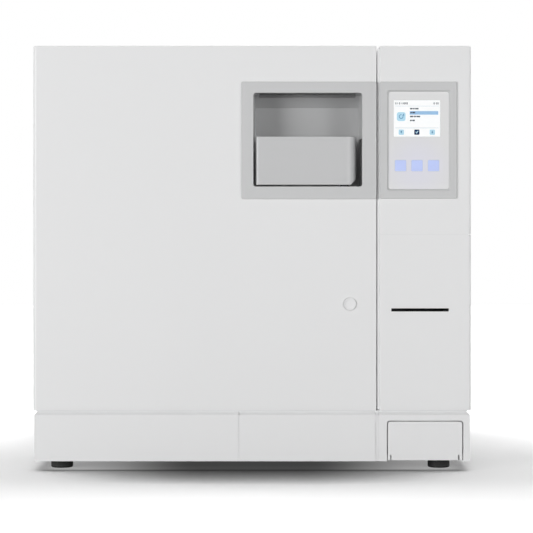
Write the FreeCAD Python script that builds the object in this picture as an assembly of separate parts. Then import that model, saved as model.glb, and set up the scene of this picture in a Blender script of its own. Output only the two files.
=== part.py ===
# Benchtop steam steriliser, built as an assembly of separate pieces.
# Millimetres. +X to the user's right, +Y to the rear, +Z up.
# Origin: centre of the footprint, on the bench surface. The door faces -Y.

import FreeCAD
import Part
import math
import os

V = FreeCAD.Vector
AXIS_X = V(1, 0, 0)
AXIS_Y = V(0, 1, 0)
AXIS_Z = V(0, 0, 1)

# ---------------------------------------------------------------- driving sizes
WIDTH = 510.0            # over the side covers
DEPTH = 590.0            # bezel face to the rear bumpers
HEIGHT = 495.0           # bench to the top cover
FOOT_HEIGHT = 11.0       # air gap under the machine
PLINTH_HEIGHT = 58.0     # lower band under the door
COLUMN_WIDTH = 106.4     # control column at the right of the door
DOOR_DEPTH = 86.0        # door face to door back
DOOR_GAP = 3.6           # vertical gap between door and column
DOOR_LIFT = 1.4          # gap between door and plinth
FACE_RELIEF = 2.0        # how far the grey bezels stand proud
CABINET_GAP = 4.0        # door back to cabinet front
BUMPER_REACH = 13.0      # rear bumpers beyond the rear panel
BASE_INSET = 1.3         # plinth sides inside the cover sides
SHEET = 1.2              # cover and pan sheet
FRAME_SHEET = 3.0        # structural steel plate
WALL = 2.5               # moulded plastic wall
EDGE_RADIUS = 3.0        # outside edges of mouldings
PLINTH_CHAMFER = 3.8     # bevel along the plinth's top front edge
SEAM = 1.2               # gap between neighbouring covers
FIT = 0.3                # clearance between pieces that slot together
RUNNING_FIT = 0.05       # radial clearance of a pin in its bore

CHAMBER_RADIUS = 125.0   # inside of the pressure vessel
CHAMBER_WALL = 2.5
CHAMBER_SHIFT = 5.0      # vessel axis to the right of the door's middle
CHAMBER_DROP = 24.0      # vessel axis below the middle of the cover
REAR_ROOM = 95.0         # vessel ports to the rear panel
FLANGE_RADIUS = 152.0
FLANGE_THICK = 12.0

# ---------------------------------------------------------------- derived planes
X_LEFT = -WIDTH / 2
X_RIGHT = WIDTH / 2
Y_FRONT = -DEPTH / 2
Y_REAR = DEPTH / 2
Y_FACE = Y_FRONT + FACE_RELIEF
Y_PANEL = Y_REAR - BUMPER_REACH
Z_BASE = FOOT_HEIGHT
Z_PLINTH = Z_BASE + PLINTH_HEIGHT
Z_TOP = HEIGHT
X_COLUMN = X_RIGHT - COLUMN_WIDTH
X_DOOR = X_COLUMN - DOOR_GAP
Y_DOOR_BACK = Y_FACE + DOOR_DEPTH
Y_CABINET = Y_DOOR_BACK + CABINET_GAP
Z_DOOR = Z_PLINTH + DOOR_LIFT
CHAMBER_X = (X_LEFT + X_DOOR) / 2 + CHAMBER_SHIFT
CHAMBER_Z = (Z_PLINTH + Z_TOP) / 2 - CHAMBER_DROP

# parts are kept here by node name and written at the end
NODES = {}


# ---------------------------------------------------------------- shape helpers
def box(x0, x1, y0, y1, z0, z1):
    """Solid block between two corners."""
    return Part.makeBox(x1 - x0, y1 - y0, z1 - z0, V(x0, y0, z0))


def rod(radius, start, axis, length):
    """Solid cylinder from a start point along an axis."""
    return Part.makeCylinder(radius, length, V(*start), axis)


def ring(outer, inner, start, axis, length):
    """Plain tube from a start point along an axis."""
    return rod(outer, start, axis, length).cut(rod(inner, start, axis, length))


def hexagon(radius, start, length):
    """Hexagonal nut along +Y, its corners on a circle."""
    x, y, z = start
    turns = [math.pi / 3 * k for k in (0, 1, 2, 3, 4, 5, 0)]
    corners = [V(x + radius * math.cos(turn), y, z + radius * math.sin(turn)) for turn in turns]
    return Part.Face(Part.makePolygon(corners)).extrude(V(0, length, 0))


def fuse(shapes):
    """One shape from several that overlap or touch."""
    first, *others = shapes
    return first.fuse(others).removeSplitter() if others else first


def cut(shape, tools):
    """Shape less all the tools."""
    return shape.cut(tools) if tools else shape


def along(edge, axis):
    """True where a straight edge runs along an axis."""
    if edge.Curve.TypeId != "Part::GeomLine":
        return False
    return abs(abs(edge.tangentAt(edge.FirstParameter).dot(axis)) - 1) < 1e-6


def near(edge, x=None, y=None, z=None, slack=0.01):
    """True where the middle of an edge lies on the planes that are given."""
    middle = edge.CenterOfMass
    wanted = ((x, middle.x), (y, middle.y), (z, middle.z))
    return all(w is None or abs(w - m) < slack for w, m in wanted)


def round_edges(shape, radius, axis, **planes):
    """Fillet the straight edges along an axis that lie on the given planes."""
    edges = [e for e in shape.Edges if along(e, axis) and near(e, **planes)]
    return shape.makeFillet(radius, edges) if edges else shape


def bevel_edges(shape, size, axis, **planes):
    """Chamfer the straight edges along an axis that lie on the given planes."""
    edges = [e for e in shape.Edges if along(e, axis) and near(e, **planes)]
    return shape.makeChamfer(size, edges) if edges else shape


def rounded_block(x0, x1, y0, y1, z0, z1, radius, axis):
    """Block with its four edges along an axis rounded."""
    return round_edges(box(x0, x1, y0, y1, z0, z1), radius, axis)


def slots(x_list, y0, y1, z0, z1, width):
    """Row of upright cutting slots, one at each x."""
    return [box(x - width / 2, x + width / 2, y0, y1, z0, z1) for x in x_list]


def spread(first, last, count):
    """Evenly spaced values from first to last."""
    step = (last - first) / (count - 1)
    return [first + step * k for k in range(count)]


def pipe_path(points, bend):
    """Wire of straight runs with a tangent arc at each inner point."""
    corners = [V(*p) for p in points]
    edges = []
    here = corners[0]
    for before, corner, after in zip(corners, corners[1:], corners[2:]):
        back = (before - corner).normalize()
        ahead = (after - corner).normalize()
        turn = math.pi - back.getAngle(ahead)
        reach = bend * math.tan(turn / 2)
        start = corner + back * reach
        end = corner + ahead * reach
        bisector = (back + ahead).normalize()
        middle = corner + bisector * (bend / math.cos(turn / 2) - bend)
        edges.append(Part.LineSegment(here, start).toShape())
        edges.append(Part.Arc(start, middle, end).toShape())
        here = end
    edges.append(Part.LineSegment(here, corners[-1]).toShape())
    return Part.Wire(edges)


def pipe(points, radius, bend):
    """Round pipe, solid in section, along straight runs and bends."""
    path = pipe_path(points, bend)
    direction = V(*points[1]) - V(*points[0])
    circle = Part.Circle(V(*points[0]), direction, radius).toShape()
    return path.makePipeShell([Part.Wire([circle])], True, False, 2)


def revolve_y(profile, x, z):
    """Solid turned about the axis along Y at (x, z) from (y, radius) edges.

    The profile is a list of points; a point given as a triple with "arc" is
    the middle of an arc between its neighbours."""
    points = [p for p in profile]
    edges = []
    count = len(points)
    k = 0
    while k < count:
        a = points[k]
        b = points[(k + 1) % count]
        if len(b) == 3:
            c = points[(k + 2) % count]
            edges.append(Part.Arc(place(a, x, z), place(b, x, z), place(c, x, z)).toShape())
            k += 2
        else:
            if (a[0], a[1]) != (b[0], b[1]):
                edges.append(Part.LineSegment(place(a, x, z), place(b, x, z)).toShape())
            k += 1
    face = Part.Face(Part.Wire(edges))
    return face.revolve(V(x, 0, z), AXIS_Y, 360)


def place(point, x, z):
    """Profile point (y, radius) as a point above the turning axis."""
    return V(x, point[0], z + point[1])


def keep(name, shape):
    """Store a finished piece under its node name."""
    NODES[name] = shape
    return shape


# ---------------------------------------------------------------- feet and base pan
FOOT_RADIUS = 13.0
FOOT_INSET_LEFT = 29.5   # foot centre from the left side
FOOT_INSET_RIGHT = 34.0  # foot centre from the right side
FOOT_INSET_FRONT = 42.0  # foot centre from the door face
FOOT_INSET_REAR = 40.0   # foot centre from the rear panel
STUD_RADIUS = 4.0        # plug that snaps into the pan
STUD_HEIGHT = 3.5

FOOT_CENTRES = [
    (x, y)
    for x in (X_LEFT + FOOT_INSET_LEFT, X_RIGHT - FOOT_INSET_RIGHT)
    for y in (Y_FACE + FOOT_INSET_FRONT, Y_PANEL - FOOT_INSET_REAR)
]


def rubber_foot(x, y):
    """Rubber disc with a softened lower rim and a snap-in stud."""
    disc = rod(FOOT_RADIUS, (x, y, 0), AXIS_Z, FOOT_HEIGHT)
    rim = [e for e in disc.Edges if abs(e.CenterOfMass.z) < 0.01 and e.Length > FOOT_RADIUS]
    disc = disc.makeFillet(FOOT_HEIGHT * 0.2, rim)
    stud = rod(STUD_RADIUS, (x, y, FOOT_HEIGHT), AXIS_Z, STUD_HEIGHT)
    return disc.fuse(stud).removeSplitter()


keep("rubber_feet", Part.Compound([rubber_foot(x, y) for x, y in FOOT_CENTRES]))

PAN_SHEET = 1.5
PAN_LAP = 12.0           # how far the pan's sides reach up inside the cover
PAN_X0 = X_LEFT + BASE_INSET
PAN_X1 = X_RIGHT - BASE_INSET
PAN_Z1 = Z_BASE + PAN_SHEET
VENT_SLOT = 4.0
FLAP_X0 = X_COLUMN + 8.4  # opening of the service bay in the plinth
FLAP_X1 = X_RIGHT - 9.0
GROOVE_X0 = X_COLUMN - 5.0  # groove between centre skirt and service bay
GROOVE_X1 = X_COLUMN - 0.6
PAN_VENT_COUNT = 11
PAN_VENT_LENGTH = 100.0
PAN_VENT_BACK = 122.0    # rear ends of the floor vents from the rear panel


def base_pan():
    """Folded steel tray: floor, two sides and a rear upstand."""
    floor_front = Y_FACE + WALL + FIT
    floor = box(PAN_X0 + WALL + FIT, PAN_X1 - WALL - FIT, floor_front, Y_CABINET, Z_BASE, PAN_Z1)
    rear_floor = box(PAN_X0, PAN_X1, Y_CABINET, Y_PANEL, Z_BASE, PAN_Z1)
    sides = [
        box(x, x + PAN_SHEET, Y_CABINET, Y_PANEL, Z_BASE, Z_PLINTH + PAN_LAP)
        for x in (PAN_X0, PAN_X1 - PAN_SHEET)
    ]
    upstand = box(PAN_X0, PAN_X1, Y_PANEL - PAN_SHEET, Y_PANEL, Z_BASE, Z_PLINTH)
    pan = fuse([floor, rear_floor, *sides, upstand])
    holes = [rod(STUD_RADIUS, (x, y, Z_BASE - 1), AXIS_Z, PAN_SHEET + 2) for x, y in FOOT_CENTRES]
    vent_xs = spread(X_LEFT + 120, X_LEFT + 220, PAN_VENT_COUNT)
    vent_y1 = Y_PANEL - PAN_VENT_BACK
    vents = slots(vent_xs, vent_y1 - PAN_VENT_LENGTH, vent_y1, Z_BASE - 1, PAN_Z1 + 1, VENT_SLOT)
    flap_room = box(FLAP_X0 - 1, FLAP_X1 + 1, Y_FACE, Y_FACE + 11, Z_BASE - 1, PAN_Z1 + 1)
    skirt_room = box(
        GROOVE_X0 - WALL - FIT, GROOVE_X1 + WALL + FIT, floor_front - 1, Y_CABINET, Z_BASE - 1, PAN_Z1 + 1
    )
    return cut(pan, holes + vents + [flap_room, skirt_room])


keep("base_pan", base_pan())

# ---------------------------------------------------------------- front frame and chamber mouth
MOUTH_CLEARANCE = 1.0    # flange to frame hole
FRAME_RETURN = 14.0      # folded edges of the frame
DRAIN_PITCH = 24.0       # between the two hose couplings
DRAIN_X0 = FLAP_X0 + 19.0
DRAIN_XS = (DRAIN_X0, DRAIN_X0 + DRAIN_PITCH)
DRAIN_Z = Z_BASE + 25.0
HOSE_HOLE = 6.5


def front_frame():
    """Steel bulkhead behind the door, with folded side edges."""
    x0 = X_LEFT + SHEET + BASE_INSET + PAN_SHEET + FIT
    x1 = X_RIGHT - SHEET - BASE_INSET - PAN_SHEET - FIT
    z0, z1 = PAN_Z1, Z_TOP - SHEET - FIT
    plate = box(x0, x1, Y_CABINET, Y_CABINET + FRAME_SHEET, z0, z1)
    back = Y_CABINET + FRAME_SHEET + FRAME_RETURN
    folds = [
        box(x0, x0 + FRAME_SHEET, Y_CABINET, back, z0, z1),
        box(x1 - FRAME_SHEET, x1, Y_CABINET, back, z0, z1),
        box(x0, x1, Y_CABINET, back, z1 - FRAME_SHEET, z1),
    ]
    mouth = rod(
        FLANGE_RADIUS + MOUTH_CLEARANCE,
        (CHAMBER_X, Y_CABINET - 1, CHAMBER_Z),
        AXIS_Y,
        FRAME_SHEET + 2,
    )
    hoses = [rod(HOSE_HOLE, (x, Y_CABINET - 1, DRAIN_Z), AXIS_Y, FRAME_SHEET + 2) for x in DRAIN_XS]
    return cut(fuse([plate, *folds]), [mouth, *hoses])


keep("front_frame", front_frame())

# ---------------------------------------------------------------- outer cover and tank lid
COVER_RADIUS = 5.0
COVER_Z0 = Z_PLINTH + SEAM
LID_WIDTH = 250.0
LID_LENGTH = 150.0
LID_X0, LID_X1 = CHAMBER_X - LID_WIDTH / 2, CHAMBER_X + LID_WIDTH / 2
LID_Y0 = Y_CABINET + 83.0
LID_Y1 = LID_Y0 + LID_LENGTH
LID_RADIUS = 12.0
LOUVRE_PITCH = 11.0
LOUVRE_COUNT = 12
LOUVRE_HEIGHT = 70.0
LOUVRE_REAR = 60.0       # last louvre from the rear panel
LOUVRE_LOW = 40.0        # lower row above the cover's edge
LOUVRE_HIGH = 55.0       # upper row below the top


def outer_cover():
    """One sheet folded over the top and down both sides."""
    outer = round_edges(
        box(X_LEFT, X_RIGHT, Y_CABINET, Y_PANEL, COVER_Z0, Z_TOP), COVER_RADIUS, AXIS_Y, z=Z_TOP
    )
    inner = round_edges(
        box(X_LEFT + SHEET, X_RIGHT - SHEET, Y_CABINET - 1, Y_PANEL + 1, COVER_Z0 - 1, Z_TOP - SHEET),
        COVER_RADIUS - SHEET,
        AXIS_Y,
        z=Z_TOP - SHEET,
    )
    lid_hole = rounded_block(
        LID_X0 + FIT, LID_X1 - FIT, LID_Y0 + FIT, LID_Y1 - FIT, Z_TOP - 10, Z_TOP + 1, LID_RADIUS, AXIS_Z
    )
    louvres = []
    for k in range(LOUVRE_COUNT):
        y = Y_PANEL - LOUVRE_REAR - k * LOUVRE_PITCH
        for x0, x1 in ((X_LEFT - 1, X_LEFT + 5), (X_RIGHT - 5, X_RIGHT + 1)):
            for z in (COVER_Z0 + LOUVRE_LOW, Z_TOP - LOUVRE_HIGH - LOUVRE_HEIGHT):
                louvres.append(box(x0, x1, y, y + VENT_SLOT, z, z + LOUVRE_HEIGHT))
    return cut(outer, [inner, lid_hole, *louvres])


keep("outer_cover", outer_cover())

LID_THICK = 3.0
LID_LIP = 8.0            # skirt of the lid inside the cover's hole
LID_FLANGE = 6.0         # rim that rests on the cover
GRIP_RADIUS = 16.0


def tank_lid():
    """Moulded lid: flanged plate, skirt below, scooped finger grip."""
    plate = rounded_block(
        LID_X0 - LID_FLANGE, LID_X1 + LID_FLANGE, LID_Y0 - LID_FLANGE, LID_Y1 + LID_FLANGE,
        Z_TOP, Z_TOP + LID_THICK, LID_RADIUS + LID_FLANGE, AXIS_Z,
    )
    skirt = rounded_block(
        LID_X0 + 2 * FIT, LID_X1 - 2 * FIT, LID_Y0 + 2 * FIT, LID_Y1 - 2 * FIT,
        Z_TOP - LID_LIP, Z_TOP, LID_RADIUS, AXIS_Z,
    )
    hollow = rounded_block(
        LID_X0 + WALL, LID_X1 - WALL, LID_Y0 + WALL, LID_Y1 - WALL,
        Z_TOP - LID_LIP - 1, Z_TOP, LID_RADIUS - WALL, AXIS_Z,
    )
    return fuse([plate, skirt.cut(hollow)])


keep("tank_lid", tank_lid())

# ---------------------------------------------------------------- plinth skirts
SKIRT_SEAM_X = X_DOOR - 160.7  # joint between the two front skirts


def bevel_top(shape, x, y, z):
    """Chamfer a block's top edge at its front y, and at its outer end x if it has one."""
    shape = bevel_edges(shape, PLINTH_CHAMFER, AXIS_X, y=y, z=z)
    return shape if x is None else bevel_edges(shape, PLINTH_CHAMFER, AXIS_Y, x=x, z=z)


def skirt(x0, x1, ends, outer=None):
    """Front skirt: front wall, top wall and any end walls, open below and behind."""
    body = bevel_top(box(x0, x1, Y_FACE, Y_CABINET, Z_BASE, Z_PLINTH), outer, Y_FACE, Z_PLINTH)
    a = x0 + WALL if "left" in ends else x0 - 1
    b = x1 - WALL if "right" in ends else x1 + 1
    inner = None if outer is None else a if outer == x0 else b
    core = box(a, b, Y_FACE + WALL, Y_CABINET + 1, Z_BASE - 1, Z_PLINTH - WALL)
    return body.cut(bevel_top(core, inner, Y_FACE + WALL, Z_PLINTH - WALL))


keep("skirt_left", skirt(PAN_X0, SKIRT_SEAM_X, ("left",), PAN_X0))
keep("skirt_centre", skirt(SKIRT_SEAM_X + SEAM, GROOVE_X0, ("right",)))

# ---------------------------------------------------------------- service bay behind the flap
FLAP_TOP = Z_PLINTH - 10.7
FLAP_AXIS_Y = Y_FACE + 3.5
FLAP_AXIS_Z = Z_BASE + 4.0
FLAP_PIN = 1.5           # pin radius
FLAP_RADIUS = 4.0        # top corners of the flap's opening
BAY_X0, BAY_X1 = FLAP_X0 + 3.0, FLAP_X1 - 3.0
BAY_Z0, BAY_Z1 = Z_BASE + 6.0, Z_PLINTH - 13.0
BAY_RIM = Y_FACE + 9.5
BAY_DEPTH = 48.5         # rim to the pocket's back wall
BAY_BACK = BAY_RIM + BAY_DEPTH
BAY_WALL = 2.0
DRAIN_BODY = 7.0
SWITCH_WIDTH = 22.0
SWITCH_X1 = BAY_X1 - 7.0
SWITCH_X0 = SWITCH_X1 - SWITCH_WIDTH
SWITCH_Z0, SWITCH_Z1 = BAY_Z0 + 5.0, BAY_Z1 - 6.0
LUG_WIDTH = 4.0
LUG_BACK = Y_FACE + 7.0
PIN_REACH = 3.6          # hinge pin beyond the edge of the opening


def service_bay():
    """Right end of the plinth: front with the flap opening, and a pocket behind."""
    front = skirt(GROOVE_X1, PAN_X1, ("left", "right"), PAN_X1)
    opening = box(FLAP_X0, FLAP_X1, Y_FACE - 1, Y_FACE + WALL + 1, Z_BASE - 1, FLAP_TOP)
    front = front.cut(round_edges(opening, FLAP_RADIUS, AXIS_Y, z=FLAP_TOP))
    rim = box(GROOVE_X1 + WALL, PAN_X1 - WALL, BAY_RIM, BAY_RIM + BAY_WALL, PAN_Z1 + FIT, Z_PLINTH - WALL)
    rim = rim.cut(box(BAY_X0, BAY_X1, BAY_RIM - 1, BAY_RIM + 3, BAY_Z0, BAY_Z1))
    pocket = box(
        BAY_X0 - BAY_WALL, BAY_X1 + BAY_WALL, BAY_RIM, BAY_BACK + BAY_WALL,
        BAY_Z0 - BAY_WALL, BAY_Z1 + BAY_WALL,
    ).cut(box(BAY_X0, BAY_X1, BAY_RIM - 1, BAY_BACK, BAY_Z0, BAY_Z1))
    lugs = [
        box(x, x + LUG_WIDTH, Y_FACE + WALL, LUG_BACK, PAN_Z1 + FIT, Z_BASE + 9)
        for x in (FLAP_X0 - LUG_WIDTH, FLAP_X1)
    ]
    pins = [
        rod(FLAP_PIN, (x, FLAP_AXIS_Y, FLAP_AXIS_Z), AXIS_X, PIN_REACH + 1)
        for x in (FLAP_X0 - 1, FLAP_X1 - PIN_REACH)
    ]
    bay = fuse([front, rim, pocket, *lugs, *pins])
    holes = [rod(DRAIN_BODY, (x, BAY_BACK - 1, DRAIN_Z), AXIS_Y, 5) for x in DRAIN_XS]
    switch = box(SWITCH_X0, SWITCH_X1, BAY_BACK - 1, BAY_BACK + 4, SWITCH_Z0, SWITCH_Z1)
    return cut(bay, holes + [switch])


keep("service_bay", service_bay())

FLAP_EAR = 2.8
SLIT_XS = (FLAP_X0 + 4.7, FLAP_X1 - 5.3)
SLIT_TOP = Z_BASE + 7.5
SLIT_WIDTH = 1.4
FLAP_RIB = 1.5
FLAP_RIBS = (15.0, 25.0, 35.0)  # stiffening ribs above the base


def service_flap():
    """Drop-down flap with a pierced ear at each lower corner."""
    x0, x1 = FLAP_X0 + SEAM, FLAP_X1 - SEAM
    z0, z1 = Z_BASE + SEAM, FLAP_TOP - SEAM
    plate = box(x0, x1, Y_FACE, Y_FACE + WALL, z0, z1)
    plate = round_edges(plate, FLAP_RADIUS - SEAM, AXIS_Y, z=z1)
    ears = [
        box(x, x + FLAP_EAR, Y_FACE + WALL, LUG_BACK, z0, SLIT_TOP)
        for x in (x0, x1 - FLAP_EAR)
    ]
    ribs = [
        box(x0 + 8, x1 - 8, Y_FACE + WALL, Y_FACE + WALL + 2, Z_BASE + z, Z_BASE + z + FLAP_RIB)
        for z in FLAP_RIBS
    ]
    slits = slots(SLIT_XS, Y_FACE - 1, Y_FACE + WALL, z0 - 1, SLIT_TOP, SLIT_WIDTH)
    bores = [
        rod(FLAP_PIN + RUNNING_FIT, (x, FLAP_AXIS_Y, FLAP_AXIS_Z), AXIS_X, FLAP_EAR + 1)
        for x in (x0 - 1, x1 - FLAP_EAR)
    ]
    return cut(fuse([plate, *ears, *ribs]), slits + bores)


keep("service_flap", service_flap())

DRAIN_BORE = 3.2
BORE_DEPTH = 11.0
COUPLING_REACH = 26.0    # coupling in front of the bay's back wall
NUT_RADIUS = 9.5
NUT_THICK = 5.0
HOSE_TAIL = 18.0


def drain_coupling(x):
    """Self-sealing hose coupling: body, hexagon nut, release collar and tail."""
    y0 = BAY_BACK - COUPLING_REACH
    body = rod(DRAIN_BODY, (x, y0 + 6, DRAIN_Z), AXIS_Y, 20 + BAY_WALL)
    collar = rod(DRAIN_BODY + 1.6, (x, y0 + 2, DRAIN_Z), AXIS_Y, 7)
    lip = rod(DRAIN_BODY - 1, (x, y0, DRAIN_Z), AXIS_Y, 3)
    nut = hexagon(NUT_RADIUS, (x, BAY_BACK - NUT_THICK, DRAIN_Z), NUT_THICK)
    tail = rod(4.5, (x, BAY_BACK + BAY_WALL, DRAIN_Z), AXIS_Y, HOSE_TAIL)
    whole = fuse([body, collar, lip, nut, tail])
    return whole.cut(rod(DRAIN_BORE, (x, y0 - 1, DRAIN_Z), AXIS_Y, BORE_DEPTH + 1))


keep("drain_couplings", Part.Compound([drain_coupling(x) for x in DRAIN_XS]))

SWITCH_LIP = 2.0
SWITCH_DEEP = 18.0
BLADE_WIDTH, BLADE_THICK, BLADE_REACH = 6.0, 0.8, 8.0
ROCKER_Y = BAY_BACK + 3.0
ROCKER_Z = (SWITCH_Z0 + SWITCH_Z1) / 2
ROCKER_PIN = 1.6
ROCKER_TILT = 8.0


def main_switch_frame():
    """Snap-in switch housing with a cross pin for the rocker and two blade terminals."""
    x0, x1 = SWITCH_X0 + FIT, SWITCH_X1 - FIT
    z0, z1 = SWITCH_Z0 + FIT, SWITCH_Z1 - FIT
    body = box(x0, x1, BAY_BACK, BAY_BACK + SWITCH_DEEP, z0, z1)
    lip = box(SWITCH_X0 - 2, SWITCH_X1 + 2, BAY_BACK - SWITCH_LIP, BAY_BACK, SWITCH_Z0 - 2, SWITCH_Z1 + 2)
    well = box(x0 + 2, x1 - 2, BAY_BACK - 3, BAY_BACK + SWITCH_DEEP - 3, z0 + 2, z1 - 2)
    pin = rod(ROCKER_PIN, (x0 + 1, ROCKER_Y, ROCKER_Z), AXIS_X, x1 - x0 - 2)
    middle, rear = (x0 + x1) / 2, BAY_BACK + SWITCH_DEEP
    blades = [
        box(middle - BLADE_WIDTH / 2, middle + BLADE_WIDTH / 2, rear, rear + BLADE_REACH, z, z + BLADE_THICK)
        for z in (z0 + 6, z1 - 7)
    ]
    return fuse([fuse([body, lip]).cut(well), pin, *blades])


keep("main_switch_frame", main_switch_frame())


def main_switch_rocker():
    """Rocker with a shallow vee face, at rest in its off position."""
    x0, x1 = SWITCH_X0 + FIT + 2.6, SWITCH_X1 - FIT - 2.6
    half = (SWITCH_Z1 - SWITCH_Z0) / 2 - FIT - 3.6
    y = ROCKER_Y
    outline = [
        (y - 5.5, -half), (y - 3.8, 0), (y - 5.5, half),
        (y + 2.0, half * 0.9), (y + 4.0, 0), (y + 2.0, -half * 0.9), (y - 5.5, -half),
    ]
    face = Part.Face(Part.makePolygon([V(x0, a, ROCKER_Z + b) for a, b in outline]))
    rocker = face.extrude(V(x1 - x0, 0, 0))
    rocker = rocker.cut(rod(ROCKER_PIN + RUNNING_FIT, (x0 - 1, ROCKER_Y, ROCKER_Z), AXIS_X, x1 - x0 + 2))
    rocker.rotate(V(0, ROCKER_Y, ROCKER_Z), AXIS_X, ROCKER_TILT)
    return rocker


keep("main_switch_rocker", main_switch_rocker())

# ---------------------------------------------------------------- column, lower part: printer bay
Z_SEAM = Z_TOP - 219.9   # seam between printer door and upper fascia
PDOOR_Z1 = Z_SEAM - SEAM / 2
PDOOR_AXIS_X = X_RIGHT - 2.8
PDOOR_AXIS_Y = Y_FACE + 18.0
PDOOR_BARREL = 2.8
PDOOR_PIN = 1.2
PDOOR_BARREL_Z0 = Z_DOOR + 3.1
PDOOR_BARREL_Z1 = PDOOR_Z1 - 3.1
SLOT_WIDTH = 66.9        # paper slot
SLOT_HEIGHT = 3.7
SLOT_X0 = X_COLUMN + 13.6
SLOT_X1 = SLOT_X0 + SLOT_WIDTH
SLOT_Z0 = Z_DOOR + 114.9
SLOT_Z1 = SLOT_Z0 + SLOT_HEIGHT
DOOR_RIB = 1.6
PDOOR_RIBS = (Z_DOOR + 29.6, Z_DOOR + 69.6, PDOOR_Z1 - 59.5, PDOOR_Z1 - 24.5)


def printer_bay():
    """Fixed walls of the lower column with a hinge tab at top and bottom."""
    front = Y_FACE + WALL + 0.6
    shell = box(X_COLUMN, X_RIGHT, front, Y_CABINET, Z_DOOR, PDOOR_Z1)
    room = box(X_COLUMN + WALL, X_RIGHT - WALL, front - 1, Y_CABINET + 1, Z_DOOR + WALL, PDOOR_Z1 - WALL)
    shell = shell.cut(room)
    corner = box(
        X_RIGHT - 6.4, X_RIGHT + 1, front - 1, PDOOR_AXIS_Y + PDOOR_BARREL + 0.6, Z_DOOR - 1, PDOOR_Z1 + 1
    )
    left_gap = box(X_COLUMN - 1, X_COLUMN + WALL, front - 1, Y_FACE + 4.6, Z_DOOR - 1, PDOOR_Z1 + 1)
    shell = cut(shell, [corner, left_gap])
    tabs = []
    for z0, pin0 in ((Z_DOOR, Z_DOOR + WALL), (PDOOR_Z1 - WALL, PDOOR_Z1 - WALL - 7)):
        tabs.append(rod(PDOOR_BARREL, (PDOOR_AXIS_X, PDOOR_AXIS_Y, z0), AXIS_Z, WALL))
        tabs.append(box(
            PDOOR_AXIS_X - 7, PDOOR_AXIS_X, PDOOR_AXIS_Y - PDOOR_BARREL, PDOOR_AXIS_Y + PDOOR_BARREL,
            z0, z0 + WALL,
        ))
        tabs.append(rod(PDOOR_PIN, (PDOOR_AXIS_X, PDOOR_AXIS_Y, pin0), AXIS_Z, 7))
    return fuse([shell, *tabs])


keep("printer_bay", printer_bay())


def printer_door():
    """Front panel of the lower column, hinged on a barrel inside its right side."""
    body = box(X_COLUMN, X_RIGHT, Y_FACE, PDOOR_AXIS_Y, Z_DOOR, PDOOR_Z1)
    body = round_edges(body, EDGE_RADIUS, AXIS_Z, x=X_RIGHT, y=Y_FACE)
    body = round_edges(body, 1.0, AXIS_Z, x=X_COLUMN, y=Y_FACE)
    core = box(X_COLUMN + 2, X_RIGHT - 2.5, Y_FACE + WALL, PDOOR_AXIS_Y + 1, Z_DOOR - 1, PDOOR_Z1 + 1)
    left = box(X_COLUMN - 1, X_COLUMN + 3, Y_FACE + 4, PDOOR_AXIS_Y + 1, Z_DOOR - 1, PDOOR_Z1 + 1)
    body = cut(body, [core, left])
    barrel = rod(
        PDOOR_BARREL, (PDOOR_AXIS_X, PDOOR_AXIS_Y, PDOOR_BARREL_Z0), AXIS_Z, PDOOR_BARREL_Z1 - PDOOR_BARREL_Z0
    )
    ends = [
        box(X_RIGHT - 7, X_RIGHT + 1, PDOOR_AXIS_Y - 3.4, PDOOR_AXIS_Y + 1, z0, z1)
        for z0, z1 in ((Z_DOOR - 1, PDOOR_BARREL_Z0), (PDOOR_BARREL_Z1, PDOOR_Z1 + 1))
    ]
    ribs = [
        box(X_COLUMN + 8, X_RIGHT - 9, Y_FACE + WALL, Y_FACE + WALL + DOOR_RIB, z, z + DOOR_RIB)
        for z in PDOOR_RIBS
    ]
    body = cut(body, ends).fuse([barrel, *ribs]).removeSplitter()
    bore = rod(
        PDOOR_PIN + RUNNING_FIT, (PDOOR_AXIS_X, PDOOR_AXIS_Y, Z_DOOR), AXIS_Z, PDOOR_Z1 - Z_DOOR
    )
    slot = box(SLOT_X0, SLOT_X1, Y_FACE - 1, Y_FACE + WALL + 1, SLOT_Z0, SLOT_Z1)
    return cut(body, [bore, slot])


keep("printer_door", printer_door())

TEETH = 26
TOOTH = 1.4              # height of one tooth
BAR_DROP = 7.3           # bar below the slot
BAR_THICK = 0.6


def tear_bar():
    """Serrated steel strip behind the lower edge of the paper slot."""
    x0, x1 = SLOT_X0 + 1, SLOT_X1 - 1
    step = (x1 - x0) / TEETH
    y, low, root = Y_FACE + WALL, SLOT_Z0 - BAR_DROP, SLOT_Z0 + 0.2
    points = [V(x0, y, low), V(x0, y, root)]
    for k in range(TEETH):
        points.append(V(x0 + (k + 0.5) * step, y, root + TOOTH))
        points.append(V(x0 + (k + 1) * step, y, root))
    points += [V(x1, y, low), points[0]]
    return Part.Face(Part.makePolygon(points)).extrude(V(0, BAR_THICK, 0))


keep("tear_bar", tear_bar())

# ---------------------------------------------------------------- printer
CHEEK_X0, CHEEK_X1 = SLOT_X0 - 4.2, SLOT_X1 + 3.9
CHEEK = 3.0
PLATEN_Y, PLATEN_Z = Y_FACE + 21.0, SLOT_Z0 - 9.3
PLATEN_RADIUS = 6.0
PLATEN_AXLE = 3.0
PAPER_Y, PAPER_Z = PLATEN_Y + 32.0, PLATEN_Z - 26.0
PAPER_RADIUS = 20.0
PAPER_WIDTH = 57.0
SPINDLE_RADIUS = 6.0
POST_RADIUS = 4.0
POST_LENGTH = 10.0


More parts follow.
